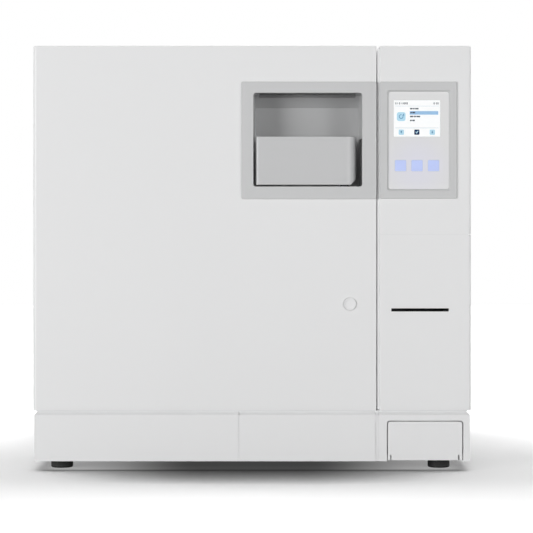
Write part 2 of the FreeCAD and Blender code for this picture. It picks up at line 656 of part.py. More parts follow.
def printer_mechanism():
    """Frame with two cheeks, print head bar, paper spindle and mounting posts."""
    low, high = PAPER_Z - 26, PLATEN_Z + 16
    cheeks = [
        box(x, x + CHEEK, Y_FACE + 10, Y_CABINET - 9, low, high) for x in (CHEEK_X0, CHEEK_X1 - CHEEK)
    ]
    back = box(CHEEK_X0, CHEEK_X1, Y_CABINET - 12, Y_CABINET - 9, low - 6, high + 8)
    head = box(CHEEK_X0 + 1, CHEEK_X1 - 1, Y_FACE + 6.5, Y_FACE + 12.5, PLATEN_Z - 12, PLATEN_Z + 6)
    spindle = rod(SPINDLE_RADIUS, (CHEEK_X0 + 1, PAPER_Y, PAPER_Z), AXIS_X, CHEEK_X1 - CHEEK_X0 - 2)
    posts = [
        rod(POST_RADIUS, (x, Y_CABINET - POST_LENGTH, z), AXIS_Y, POST_LENGTH)
        for x in (CHEEK_X0 + 8, CHEEK_X1 - 8) for z in (low, high + 2)
    ]
    bore = rod(PLATEN_AXLE + RUNNING_FIT, (CHEEK_X0 - 1, PLATEN_Y, PLATEN_Z), AXIS_X, CHEEK_X1 - CHEEK_X0 + 2)
    return fuse([*cheeks, back, head, spindle, *posts]).cut(bore)


keep("printer_mechanism", printer_mechanism())
keep("platen_roller", fuse([
    rod(PLATEN_RADIUS, (CHEEK_X0 + 6, PLATEN_Y, PLATEN_Z), AXIS_X, CHEEK_X1 - CHEEK_X0 - 12),
    rod(PLATEN_AXLE, (CHEEK_X0 + 0.5, PLATEN_Y, PLATEN_Z), AXIS_X, CHEEK_X1 - CHEEK_X0 - 1),
]))
keep("paper_roll", ring(
    PAPER_RADIUS, SPINDLE_RADIUS + RUNNING_FIT,
    ((CHEEK_X0 + CHEEK_X1 - PAPER_WIDTH) / 2, PAPER_Y, PAPER_Z), AXIS_X, PAPER_WIDTH,
))

# ---------------------------------------------------------------- column, upper part
BEZEL_TOP = 42.2         # top of both bezels below the machine's top
BEZEL_HEIGHT = 136.1
BEZEL_X0, BEZEL_X1 = X_COLUMN, X_RIGHT - 16.6
BEZEL_Z1 = Z_TOP - BEZEL_TOP
BEZEL_Z0 = BEZEL_Z1 - BEZEL_HEIGHT
BEZEL_LAP = 4.5          # how far the bezel covers the edge of its opening
WIN_X0, WIN_X1 = BEZEL_X0 + 10.4, BEZEL_X1 - 9.4
WIN_Z0, WIN_Z1 = BEZEL_Z0 + 11.3, BEZEL_Z1 - 11.8
WIN_RECESS = 2.2
WIN_THICK = 1.6
WIN_SEAT = 2.4           # how far the window reaches behind the lip
WIN_FACE = Y_FRONT + WIN_RECESS
SCREEN_WIDTH = 54.1
SCREEN_HEIGHT = 42.4
SCREEN_X0 = WIN_X0 + 6.1
SCREEN_X1 = SCREEN_X0 + SCREEN_WIDTH
SCREEN_Z1 = WIN_Z1 - 9.7
SCREEN_Z0 = SCREEN_Z1 - SCREEN_HEIGHT
KEY_SIZE = 13.0
KEY_HEIGHT = 12.8
KEY_XS = (SCREEN_X0 + 7.9, SCREEN_X0 + 27.0, SCREEN_X0 + 46.3)
KEY_Z0 = WIN_Z0 + 20.7
KEY_Z1 = KEY_Z0 + KEY_HEIGHT
BOLT_Y = Y_FACE + 48.0
BOLT_Z = Z_SEAM + 20.9
BOLT_RADIUS = 4.0
TONGUE_THICK = 4.0
TONGUE_ROOM = 2.0        # free space round the tongue in the column wall
TONGUE_Y0, TONGUE_Y1 = Y_FACE + 38.0, Y_FACE + 54.0
TONGUE_Z1 = BEZEL_Z0 - 1.7
TONGUE_Z0 = TONGUE_Z1 - TONGUE_THICK


def column_fascia():
    """Upper column moulding with the openings for controls, latch and safety bolt."""
    z0 = Z_SEAM + SEAM / 2
    body = box(X_COLUMN, X_RIGHT, Y_FACE, Y_CABINET, z0, Z_TOP)
    body = round_edges(body, EDGE_RADIUS, AXIS_Z, x=X_RIGHT, y=Y_FACE)
    body = round_edges(body, EDGE_RADIUS - 0.5, AXIS_Y, x=X_RIGHT, z=Z_TOP)
    body = round_edges(body, 1.0, AXIS_Z, x=X_COLUMN, y=Y_FACE)
    core = box(X_COLUMN + WALL, X_RIGHT - WALL, Y_FACE + WALL, Y_CABINET + 1, z0 + WALL, Z_TOP - WALL)
    opening = rounded_block(
        BEZEL_X0 + BEZEL_LAP, BEZEL_X1 - BEZEL_LAP, Y_FACE - 1, Y_FACE + WALL + 1,
        BEZEL_Z0 + BEZEL_LAP, BEZEL_Z1 - BEZEL_LAP, 3.0, AXIS_Y,
    )
    bolt_hole = rod(BOLT_RADIUS + 0.6, (X_COLUMN - 1, BOLT_Y, BOLT_Z), AXIS_X, WALL + 2)
    tongue_slot = box(
        X_COLUMN - 1, X_COLUMN + WALL + 1, TONGUE_Y0 - TONGUE_ROOM, TONGUE_Y1 + TONGUE_ROOM,
        TONGUE_Z0 - TONGUE_ROOM, TONGUE_Z1 + TONGUE_ROOM,
    )
    return cut(body, [core, opening, bolt_hole, tongue_slot])


keep("column_fascia", column_fascia())


def frustum_y(near_rect, near_y, far_rect, far_y, radius):
    """Solid tapering between two rectangles (x0, x1, z0, z1), with its sloping edges rounded."""
    wires = []
    for (x0, x1, z0, z1), y in ((near_rect, near_y), (far_rect, far_y)):
        wires.append(Part.makePolygon([V(x0, y, z0), V(x1, y, z0), V(x1, y, z1), V(x0, y, z1), V(x0, y, z0)]))
    solid = Part.makeLoft(wires, True, True)
    slanted = [e for e in solid.Edges if e.BoundBox.YLength > 0.5]
    return solid.makeFillet(radius, slanted).Solids[0]


MOUTH_RADIUS = 4.0       # corners of the sloping lip round the window
MOUTH_LEAD = 0.5         # how far the cutting shape starts before the face


def control_bezel():
    """Grey surround, proud of the fascia, with a sloping lip around the window."""
    plate = rounded_block(BEZEL_X0, BEZEL_X1, Y_FRONT, Y_FACE, BEZEL_Z0, BEZEL_Z1, 2.0, AXIS_Y)
    rim = [e for e in plate.Edges if abs(e.CenterOfMass.y - Y_FRONT) < 0.01]
    plate = plate.makeChamfer(0.5, rim)
    inset = BEZEL_LAP + FIT
    spigot = rounded_block(
        BEZEL_X0 + inset, BEZEL_X1 - inset, Y_FACE, Y_FACE + 5,
        BEZEL_Z0 + inset, BEZEL_Z1 - inset, 2.7, AXIS_Y,
    )
    mouth = frustum_y(
        (WIN_X0 - 2.3, WIN_X1 + 2.8, WIN_Z0 - 2.7, WIN_Z1 + 2.3), Y_FRONT - MOUTH_LEAD,
        (WIN_X0, WIN_X1, WIN_Z0, WIN_Z1), WIN_FACE, MOUTH_RADIUS,
    )
    seat = box(
        WIN_X0 - WIN_SEAT, WIN_X1 + WIN_SEAT, WIN_FACE, Y_FACE + 6, WIN_Z0 - WIN_SEAT, WIN_Z1 + WIN_SEAT
    )
    return plate.fuse(spigot).removeSplitter().cut(mouth.fuse(seat))


keep("control_bezel", control_bezel())


CUTOUT_FIT = 0.15        # clearance round the screen's glass


def control_window():
    """Translucent front panel with cut-outs for the screen and the three keys."""
    inset = WIN_SEAT - FIT
    pane = box(WIN_X0 - inset, WIN_X1 + inset, WIN_FACE, WIN_FACE + WIN_THICK, WIN_Z0 - inset, WIN_Z1 + inset)
    screen = rounded_block(
        SCREEN_X0 - CUTOUT_FIT, SCREEN_X1 + CUTOUT_FIT, WIN_FACE - 1, WIN_FACE + 3,
        SCREEN_Z0 - CUTOUT_FIT, SCREEN_Z1 + CUTOUT_FIT, 0.8, AXIS_Y,
    )
    half = KEY_SIZE / 2 + 0.1
    keys = [
        rounded_block(x - half, x + half, WIN_FACE - 1, WIN_FACE + 3, KEY_Z0 - 0.1, KEY_Z1 + 0.1, 1.2, AXIS_Y)
        for x in KEY_XS
    ]
    return cut(pane, [screen, *keys])


keep("control_window", control_window())

BOARD_Y = Y_FACE + 11.0
BOARD_THICK = 1.6
TRAY_LEFT, TRAY_RIGHT, TRAY_RISE = 1.5, 5.0, 4.0  # screen tray beyond the glass


def display_module():
    """Screen glass set in the window, with its metal tray behind."""
    glass = rounded_block(
        SCREEN_X0, SCREEN_X1, WIN_FACE + 0.1, WIN_FACE + WIN_THICK + 0.2, SCREEN_Z0, SCREEN_Z1, 0.6, AXIS_Y
    )
    tray = box(
        SCREEN_X0 - TRAY_LEFT, SCREEN_X1 + TRAY_RIGHT, WIN_FACE + WIN_THICK + 0.2, BOARD_Y,
        SCREEN_Z0 - TRAY_RISE, SCREEN_Z1 + TRAY_RISE,
    )
    return fuse([glass, tray])


keep("display_module", display_module())


KEY_GAP = 0.2            # between the window and the key's flange
KEY_FLANGE = 1.2


def touch_key(x):
    """Light guide of one touch key, stepped behind the window."""
    half = KEY_SIZE / 2
    shoulder = WIN_FACE + WIN_THICK + KEY_GAP
    cap = rounded_block(x - half, x + half, WIN_FACE + 0.1, shoulder, KEY_Z0, KEY_Z1, 1.1, AXIS_Y)
    wide = half + KEY_FLANGE
    guide = box(x - wide, x + wide, shoulder, BOARD_Y, KEY_Z0 - KEY_FLANGE, KEY_Z1 + KEY_FLANGE)
    return fuse([cap, guide])


keep("touch_keys", Part.Compound([touch_key(x) for x in KEY_XS]))


# processor, two connectors and side header: left, width, foot, height, how tall they stand
BOARD_BLOCKS = ((27, 18, 51, 18, 2), (6, 26, 5, 8, 8), (42, 22, 5, 8, 8), (2, 6, 41, 40, 9))
# capacitors: right of the board's edge, above its foot, radius, how tall they stand
BOARD_CANS = ((56, 86, 5, 12), (44, 86, 5, 12), (58, 41, 4, 10))


def control_board():
    """Circuit board behind the window: posts, processor, connectors, capacitors."""
    x0, x1, z0, z1 = WIN_X0 - 1, WIN_X1 + 1, WIN_Z0 + 1, WIN_Z1 - 1
    back = BOARD_Y + BOARD_THICK
    pcb = box(x0, x1, BOARD_Y, back, z0, z1)
    posts = [
        rod(2.2, (x, WIN_FACE + WIN_THICK, z), AXIS_Y, BOARD_Y - WIN_FACE - WIN_THICK)
        for x in (x0 + 3, x1 - 3) for z in (z0 + 3, z1 - 3)
    ]
    blocks = [
        box(x0 + a, x0 + a + width, back, back + tall, z0 + b, z0 + b + height)
        for a, width, b, height, tall in BOARD_BLOCKS
    ]
    cans = [rod(radius, (x0 + a, back, z0 + b), AXIS_Y, tall) for a, b, radius, tall in BOARD_CANS]
    return fuse([pcb, *posts, *blocks, *cans])


keep("control_board", control_board())

# ---------------------------------------------------------------- door lock in the column
SOLENOID_LENGTH = 46.0
SOLENOID_HALF = 17.0     # half of the yoke's depth
SOLENOID_X0 = X_COLUMN + 29.4
SOLENOID_X1 = SOLENOID_X0 + SOLENOID_LENGTH
BOLT_LENGTH = 68.4
BOLT_X0 = X_COLUMN + 1.0
BOLT_X1 = BOLT_X0 + BOLT_LENGTH
COIL_RADIUS = 11.5


def lock_solenoid():
    """Coil in a steel frame, bored for the bolt, on two posts from the bulkhead."""
    half, back = SOLENOID_HALF, BOLT_Y + SOLENOID_HALF
    yoke = box(SOLENOID_X0, SOLENOID_X1, BOLT_Y - half, back, BOLT_Z - 13, BOLT_Z + 13)
    window = box(SOLENOID_X0 + 3, SOLENOID_X1 - 3, BOLT_Y - half - 1, back - 3, BOLT_Z - 14, BOLT_Z + 14)
    coil = rod(COIL_RADIUS, (SOLENOID_X0 + 3, BOLT_Y, BOLT_Z), AXIS_X, SOLENOID_LENGTH - 6)
    posts = [
        rod(POST_RADIUS, (x, back, BOLT_Z), AXIS_Y, Y_CABINET - back)
        for x in (SOLENOID_X0 + 10, SOLENOID_X1 - 10)
    ]
    length = BOLT_X1 - SOLENOID_X0 + 2
    bore = rod(BOLT_RADIUS + RUNNING_FIT, (SOLENOID_X0 - 1, BOLT_Y, BOLT_Z), AXIS_X, length)
    return cut(fuse([yoke.cut(window), coil, *posts]), [bore])


keep("lock_solenoid", lock_solenoid())
keep("safety_bolt", fuse([
    rod(BOLT_RADIUS, (BOLT_X0 + 1.5, BOLT_Y, BOLT_Z), AXIS_X, BOLT_X1 - BOLT_X0 - 1.5),
    Part.makeCone(BOLT_RADIUS - 1.2, BOLT_RADIUS, 1.5, V(BOLT_X0, BOLT_Y, BOLT_Z), AXIS_X),
    rod(BOLT_RADIUS + 2.5, (SOLENOID_X0 - 4, BOLT_Y, BOLT_Z), AXIS_X, 2),
]))


def latch_keeper():
    """Steel plate inside the column wall with a slot for the latch tongue."""
    x0 = X_COLUMN + WALL
    plate = box(x0, x0 + 5, TONGUE_Y0 - 6, TONGUE_Y1 + 6, TONGUE_Z0 - 9, TONGUE_Z1 + 9)
    arm = box(x0 + 1, x0 + 5, TONGUE_Y1 + 6, Y_CABINET, TONGUE_Z0 - 5, TONGUE_Z1 + 5)
    slot = box(x0 - 1, x0 + 6, TONGUE_Y0 - 1, TONGUE_Y1 + 1, TONGUE_Z0 - 1, TONGUE_Z1 + 1)
    return fuse([plate, arm]).cut(slot)


keep("latch_keeper", latch_keeper())

# ---------------------------------------------------------------- door: planes shared by its pieces
HINGE_X = X_LEFT + 9.0
HINGE_Y = Y_DOOR_BACK - 15.0
CHANNEL_X = HINGE_X + 10.0   # inner side of the channel the hinge arms sit in
CHANNEL_Y = HINGE_Y - 10.0
HB_WIDTH = 157.2         # handle surround
HB_HEIGHT = 136.8
HB_X0, HB_X1 = X_DOOR - HB_WIDTH, X_DOOR
HB_Z1 = Z_TOP - BEZEL_TOP
HB_Z0 = HB_Z1 - HB_HEIGHT
CUP_X0, CUP_X1 = HB_X0 + 13.7, HB_X1 - 16.7
CUP_Z0, CUP_Z1 = HB_Z0 + 14.7, HB_Z1 - 13.0
CUP_BACK = Y_FACE + 48.0
CUP_WALL = 2.0
CUP_FRONT = Y_FACE + 5.0
HANDLE_X = CUP_X1 - 20.2
HANDLE_Y = Y_FACE + 13.4
SHAFT_RADIUS = 5.0
PLUG_X, PLUG_Z = X_DOOR - 31.0, Z_DOOR + 123.6
PLUG_RADIUS = 7.3
PLUG_STEM = 3.0
DOOR_RIB_X = (X_LEFT + 75.0, X_LEFT + 155.0)  # upright ribs inside the door
DOOR_RIB_Z = (Z_DOOR + 79.6, CHAMBER_Z, Z_TOP - 129.0)  # cross ribs
DOOR_RIB_BACK = Y_FACE + 10.0
RIB_WIDTH = 2.0


def door_shell():
    """Deep moulded door front with openings for handle, release plug, bolt and tongue."""
    body = box(X_LEFT, X_DOOR, Y_FACE, Y_DOOR_BACK, Z_DOOR, Z_TOP)
    body = round_edges(body, EDGE_RADIUS + 1, AXIS_Z, x=X_LEFT, y=Y_FACE)
    body = round_edges(body, 1.0, AXIS_Z, x=X_DOOR, y=Y_FACE)
    body = round_edges(body, 2.0, AXIS_Y, x=X_LEFT, z=Z_TOP)
    core = box(X_LEFT + WALL, X_DOOR - WALL, Y_FACE + WALL, Y_DOOR_BACK + 1, Z_DOOR + WALL, Z_TOP - WALL)
    channel = box(X_LEFT - 1, CHANNEL_X, CHANNEL_Y, Y_DOOR_BACK + 1, Z_DOOR + WALL, Z_TOP - WALL)
    opening = rounded_block(
        HB_X0 + 4.5, HB_X1 - 6, Y_FACE - 1, Y_FACE + WALL + 1, HB_Z0 + 5, HB_Z1 - 5, 3.0, AXIS_Y
    )
    body = cut(body, [core, channel, opening])
    collar = box(X_DOOR - 9, X_DOOR - WALL, TONGUE_Y0 - 4, TONGUE_Y1 + 4, TONGUE_Z0 - 4, TONGUE_Z1 + 4)
    boss = rod(PLUG_RADIUS + 2.5, (PLUG_X, Y_FACE + WALL, PLUG_Z), AXIS_Y, 18.5)
    ribs = [
        box(x, x + RIB_WIDTH, Y_FACE + WALL, DOOR_RIB_BACK, Z_DOOR + WALL, Z_TOP - WALL) for x in DOOR_RIB_X
    ] + [
        box(X_LEFT + WALL, DOOR_RIB_X[-1], Y_FACE + WALL, DOOR_RIB_BACK, z, z + RIB_WIDTH) for z in DOOR_RIB_Z
    ]
    body = fuse([body, collar, boss, *ribs])
    tongue = box(X_DOOR - 10, X_DOOR + 1, TONGUE_Y0 - FIT, TONGUE_Y1 + FIT, TONGUE_Z0 - FIT, TONGUE_Z1 + FIT)
    bolt = rod(BOLT_RADIUS + 1.2, (X_DOOR - WALL - 1, BOLT_Y, BOLT_Z), AXIS_X, WALL + 2)
    well = rod(PLUG_RADIUS + FIT, (PLUG_X, Y_FACE - 1, PLUG_Z), AXIS_Y, 8)
    stem = rod(PLUG_STEM + RUNNING_FIT, (PLUG_X, Y_FACE - 1, PLUG_Z), AXIS_Y, 24)
    return cut(body, [tongue, bolt, well, stem])


keep("door_shell", door_shell())

PLATE_RADIUS = 142.0
DISH_RADIUS = 150.0
DISH_BACK = Y_DOOR_BACK - 19.0
HUB_RADIUS = 18.0


def door_liner():
    """Steel back of the door: flat sheet, round well for the pressure plate, hinge channel."""
    z0, z1 = Z_DOOR + WALL + FIT, Z_TOP - WALL - FIT
    x1 = X_DOOR - WALL - FIT
    sheet = box(CHANNEL_X, x1, Y_DOOR_BACK - WALL, Y_DOOR_BACK, z0, z1)
    fold = box(CHANNEL_X, CHANNEL_X + WALL, CHANNEL_Y - WALL, Y_DOOR_BACK, z0, z1)
    behind = box(X_LEFT + WALL + FIT, CHANNEL_X + WALL, CHANNEL_Y - WALL, CHANNEL_Y, z0, z1)
    well = rod(DISH_RADIUS + 2, (CHAMBER_X, DISH_BACK - 2, CHAMBER_Z), AXIS_Y, Y_DOOR_BACK - DISH_BACK + 2)
    room = rod(DISH_RADIUS, (CHAMBER_X, DISH_BACK, CHAMBER_Z), AXIS_Y, 40)
    hub = rod(HUB_RADIUS + 1, (CHAMBER_X, DISH_BACK - 3, CHAMBER_Z), AXIS_Y, 10)
    return cut(fuse([sheet, fold, behind, well]), [room, hub])


keep("door_liner", door_liner())

GASKET_INNER, GASKET_OUTER = 126.0, 141.0
GASKET_GAP = 0.3
FLANGE_FACE = Y_CABINET - 1.0


def pressure_plate():
    """Round steel plate that closes the vessel, stepped for the gasket."""
    back = DISH_BACK + 1
    seat = Y_DOOR_BACK - 6
    disc = rod(PLATE_RADIUS, (CHAMBER_X, back, CHAMBER_Z), AXIS_Y, seat - back)
    step = rod(GASKET_INNER - 0.5, (CHAMBER_X, seat, CHAMBER_Z), AXIS_Y, 5)
    edge = [e for e in step.Edges if abs(e.CenterOfMass.y - seat - 5) < 0.01 and e.Length > 100]
    return fuse([disc, step.makeFillet(2, edge)])


keep("pressure_plate", pressure_plate())


def door_gasket():
    """Silicone ring with a lip that leans on the vessel flange."""
    seat = Y_DOOR_BACK - 6
    face = FLANGE_FACE - GASKET_GAP
    base = ring(GASKET_OUTER, GASKET_INNER, (CHAMBER_X, seat, CHAMBER_Z), AXIS_Y, 5)
    lip = ring(GASKET_OUTER - 3, GASKET_INNER + 5, (CHAMBER_X, seat + 5, CHAMBER_Z), AXIS_Y, face - seat - 5)
    return fuse([base, lip])


keep("door_gasket", door_gasket())


def door_crossbar():
    """Flat bar across the door with the hub that carries the pressure plate."""
    y1 = DISH_BACK - 2
    bar = box(CHANNEL_X + WALL, X_DOOR - WALL, y1 - 12, y1, CHAMBER_Z - 15, CHAMBER_Z + 15)
    hub = rod(HUB_RADIUS, (CHAMBER_X, y1 - 16, CHAMBER_Z), AXIS_Y, DISH_BACK + 1 - y1 + 16)
    nut = rod(10, (CHAMBER_X, y1 - 24, CHAMBER_Z), AXIS_Y, 10)
    return fuse([bar, hub, nut])


keep("door_crossbar", door_crossbar())

# ---------------------------------------------------------------- door hinges
HINGE_ZS = (Z_DOOR + 29.6, Z_TOP - 75.0)
ARM_HEIGHT = 20.0
ARM_HALF = 4.0
HINGE_PIN = 4.0
KNUCKLE = 17.4


def hinge_arm(z0):
    """Arm from the bulkhead with a barrel and an upright pin."""
    arm = box(HINGE_X - ARM_HALF, HINGE_X + ARM_HALF, HINGE_Y, Y_CABINET, z0, z0 + ARM_HEIGHT)
    barrel = rod(ARM_HALF + 1, (HINGE_X, HINGE_Y, z0), AXIS_Z, ARM_HEIGHT)
    flange = box(HINGE_X - ARM_HALF, HINGE_X + 8, Y_CABINET - 3, Y_CABINET, z0 - 8, z0 + ARM_HEIGHT + 8)
    pin = rod(HINGE_PIN, (HINGE_X, HINGE_Y, z0 + ARM_HEIGHT), AXIS_Z, 20)
    return fuse([arm, barrel, flange, pin])


def hinge_leaf(z0):
    """Knuckle around the pin with a plate on the door's channel wall."""
    a = z0 + ARM_HEIGHT + 0.6
    knuckle = rod(HINGE_PIN + 2.5, (HINGE_X, HINGE_Y, a), AXIS_Z, KNUCKLE)
    web = box(HINGE_X, CHANNEL_X, HINGE_Y - 3.5, HINGE_Y + 3.5, a, a + KNUCKLE)
    plate = box(CHANNEL_X - 3, CHANNEL_X, CHANNEL_Y + 1, Y_DOOR_BACK - 5, a - 5, a + KNUCKLE + 5)
    bore = rod(HINGE_PIN + RUNNING_FIT, (HINGE_X, HINGE_Y, a - 1), AXIS_Z, KNUCKLE + 2)
    return fuse([knuckle, web, plate]).cut(bore)


keep("hinge_arms", Part.Compound([hinge_arm(z) for z in HINGE_ZS]))
keep("hinge_leaves", Part.Compound([hinge_leaf(z) for z in HINGE_ZS]))


# ---------------------------------------------------------------- handle
def handle_bezel():
    """Grey surround of the finger recess, proud of the door."""
    plate = rounded_block(HB_X0, HB_X1, Y_FRONT, Y_FACE, HB_Z0, HB_Z1, 2.0, AXIS_Y)
    rim = [e for e in plate.Edges if abs(e.CenterOfMass.y - Y_FRONT) < 0.01]
    plate = plate.makeChamfer(0.5, rim)
    spigot = rounded_block(
        HB_X0 + 4.8, HB_X1 - 6.3, Y_FACE, CUP_FRONT, HB_Z0 + 5.3, HB_Z1 - 5.3, 2.7, AXIS_Y
    )
    opening = rounded_block(CUP_X0, CUP_X1, Y_FRONT - 1, CUP_FRONT + 1, CUP_Z0, CUP_Z1, 3.0, AXIS_Y)
    return fuse([plate, spigot]).cut(opening)


keep("handle_bezel", handle_bezel())


LEVER_HEIGHT = 55.8
LEVER_X0 = CUP_X0 + 2.9
LEVER_Z0 = CUP_Z0 + 2.3
LEVER_Z1 = LEVER_Z0 + LEVER_HEIGHT
LEVER_THICK = 8.0
LEVER_CAP = 1.8          # lever left above the shaft's blind hole
LEVER_BEVEL = 6.5        # bevel on the hub's lower corner
HUB = HANDLE_Y - Y_FACE
CUP_DRAFT = 2.0          # how far each side wall leans in at the back
CUP_SLOT = 2.4           # height of the slot under the ceiling
CUP_RADIUS = 3.0         # lengthwise edges of the recess
CUP_SLOPE_DROP = 15.0    # sloping rear ceiling: how far down the back it reaches
CUP_SLOPE_RUN = 13.0     # and how far forward
HUB_ROOM = 4.0           # free space behind the lever's hub


def handle_cup():
    """Finger recess: leaning sides, sloping rear ceiling, slot, hub relief and bearing boss."""
    w = CUP_WALL
    body = box(CUP_X0 - w, CUP_X1 + w, CUP_FRONT, CUP_BACK + w, CUP_Z0 - w, CUP_Z1 + w)
    room = frustum_y(
        (CUP_X0, CUP_X1, CUP_Z0, CUP_Z1), CUP_FRONT - 0.1,
        (CUP_X0 + CUP_DRAFT, CUP_X1 - CUP_DRAFT, CUP_Z0, CUP_Z1), CUP_BACK, CUP_RADIUS,
    )
    low = V(CUP_X0 - 1, CUP_BACK + 1, CUP_Z1 - CUP_SLOPE_DROP)
    high = V(CUP_X0 - 1, CUP_BACK + 1, CUP_Z1 + 1)
    front = V(CUP_X0 - 1, CUP_BACK - CUP_SLOPE_RUN, CUP_Z1 + 1)
    slope = Part.Face(Part.makePolygon([low, high, front, low])).extrude(V(CUP_X1 - CUP_X0 + 2, 0, 0))
    boss = rod(8.0, (HANDLE_X, HANDLE_Y, CUP_Z0 - w - 7.7), AXIS_Z, 8)
    body = fuse([body.cut(room.cut(slope)), boss])
    slot = box(CUP_X0 + 6.9, CUP_X1 - 6, Y_FACE + 8, CUP_BACK - 2, CUP_Z1 - CUP_SLOT, CUP_Z1 + w + 1)
    relief = box(
        CUP_X1 - CUP_DRAFT - 1, CUP_X1 + w + 1, CUP_FRONT + 1, HANDLE_Y + HUB + HUB_ROOM, CUP_Z0, LEVER_Z1 - 2
    )
    bore = rod(SHAFT_RADIUS + RUNNING_FIT, (HANDLE_X, HANDLE_Y, CUP_Z0 - 12), AXIS_Z, 14)
    return cut(body, [slot, relief, bore])


keep("handle_cup", handle_cup())


def handle_lever():
    """Pull lever: flat paddle with a round hub at its right end."""
    paddle = box(LEVER_X0, HANDLE_X, Y_FACE, Y_FACE + LEVER_THICK, LEVER_Z0, LEVER_Z1)
    paddle = round_edges(paddle, 3.5, AXIS_Z, x=LEVER_X0, y=Y_FACE)
    paddle = round_edges(paddle, 2.0, AXIS_Z, x=LEVER_X0, y=Y_FACE + LEVER_THICK)
    hub = rod(HUB, (HANDLE_X, HANDLE_Y, LEVER_Z0), AXIS_Z, LEVER_Z1 - LEVER_Z0)
    tip = HANDLE_X + HUB
    notch = Part.Face(Part.makePolygon([
        V(tip - LEVER_BEVEL, Y_FACE - 1, LEVER_Z0), V(tip, Y_FACE - 1, LEVER_Z0),
        V(tip, Y_FACE - 1, LEVER_Z0 + LEVER_BEVEL), V(tip - LEVER_BEVEL, Y_FACE - 1, LEVER_Z0),
    ])).extrude(V(0, 2 * HUB + 2, 0))
    bore = rod(SHAFT_RADIUS, (HANDLE_X, HANDLE_Y, LEVER_Z0 - 1), AXIS_Z, LEVER_HEIGHT - LEVER_CAP)
    return cut(fuse([paddle, hub]), [bore, notch])


keep("handle_lever", handle_lever())

CRANK_Z1 = CUP_Z0 - CUP_WALL - 8.2
CRANK = 7.0              # crank pin from the handle's axis
CRANK_PIN = 2.0


def handle_shaft():
    """Shaft through the cup floor with a crank disc and pin below."""
    z0 = TONGUE_Z1 + 1.3
    shaft = rod(SHAFT_RADIUS, (HANDLE_X, HANDLE_Y, z0), AXIS_Z, LEVER_Z1 - LEVER_CAP - 1 - z0)
    disc = rod(9.5, (HANDLE_X, HANDLE_Y, z0), AXIS_Z, CRANK_Z1 - z0)
    pin = rod(CRANK_PIN, (HANDLE_X, HANDLE_Y + CRANK, TONGUE_Z0 + 0.3), AXIS_Z, z0 - TONGUE_Z0)
    return fuse([shaft, disc, pin])


keep("handle_shaft", handle_shaft())

TONGUE_TIP = X_DOOR + 2.6


def latch_bar():
    """Sliding plate driven by the crank pin, with the tongue at its right end."""
    plate = box(HANDLE_X - 12, X_DOOR - 10.5, HANDLE_Y + 1.5, TONGUE_Y1, TONGUE_Z0, TONGUE_Z1)
    tongue = box(X_DOOR - 12, TONGUE_TIP, TONGUE_Y0, TONGUE_Y1, TONGUE_Z0, TONGUE_Z1)
    fork = box(
        HANDLE_X - CRANK_PIN - 0.5, HANDLE_X + CRANK_PIN + 0.5, HANDLE_Y, HANDLE_Y + CRANK + CRANK_PIN + 0.5,
        TONGUE_Z0 - 1, TONGUE_Z1 + 1,
    )
    return fuse([plate, tongue]).cut(fork)


keep("latch_bar", latch_bar())


def release_plug():
    """Round pull for opening the door without power: ringed head, stem, stop disc."""
    head = rod(PLUG_RADIUS, (PLUG_X, Y_FACE - 1.2, PLUG_Z), AXIS_Y, 7)
    dish = rod(PLUG_RADIUS - 1.8, (PLUG_X, Y_FACE - 2, PLUG_Z), AXIS_Y, 1.7)
    stem = rod(PLUG_STEM, (PLUG_X, Y_FACE + 5, PLUG_Z), AXIS_Y, 38)
    stop = rod(PLUG_STEM + 2, (PLUG_X, Y_FACE + 42, PLUG_Z), AXIS_Y, 3)
    return fuse([head.cut(dish), stem, stop])


keep("release_plug", release_plug())

# ---------------------------------------------------------------- pressure vessel
VESSEL_OUTER = CHAMBER_RADIUS + CHAMBER_WALL
DISH_DEPTH = 39.0
PORT_REACH = 2.0         # port bosses beyond the dished end
PORT_END = Y_PANEL - REAR_ROOM
VESSEL_END = PORT_END - PORT_REACH - DISH_DEPTH
RIM_RADIUS = FLANGE_RADIUS + 12.0
RIM_BOLTS = 8
BOLT_CIRCLE = RIM_RADIUS - 6.0
RIM_Y0 = Y_CABINET + FRAME_SHEET
RIM_Y1 = RIM_Y0 + 8.0
BAND_RADIUS = VESSEL_OUTER + 3.0
BAND_LENGTH = 120.0
BAND_Y0 = FLANGE_FACE + 144.0
BLANKET_RADIUS = 150.0
PORTS = ((0.0, 0.0), (0.0, -60.0), (60.0, 0.0))  # safety valve, drain, steam
PORT_RADIUS = 9.0
PORT_BORE = 3.5


def dish_arc(radius, depth):
    """Middle point of the dished end's arc: distance along the axis and radius."""
    sphere = (radius ** 2 + depth ** 2) / (2 * depth)
    half = math.asin(radius / sphere) / 2
    return depth - sphere + sphere * math.cos(half), sphere * math.sin(half)


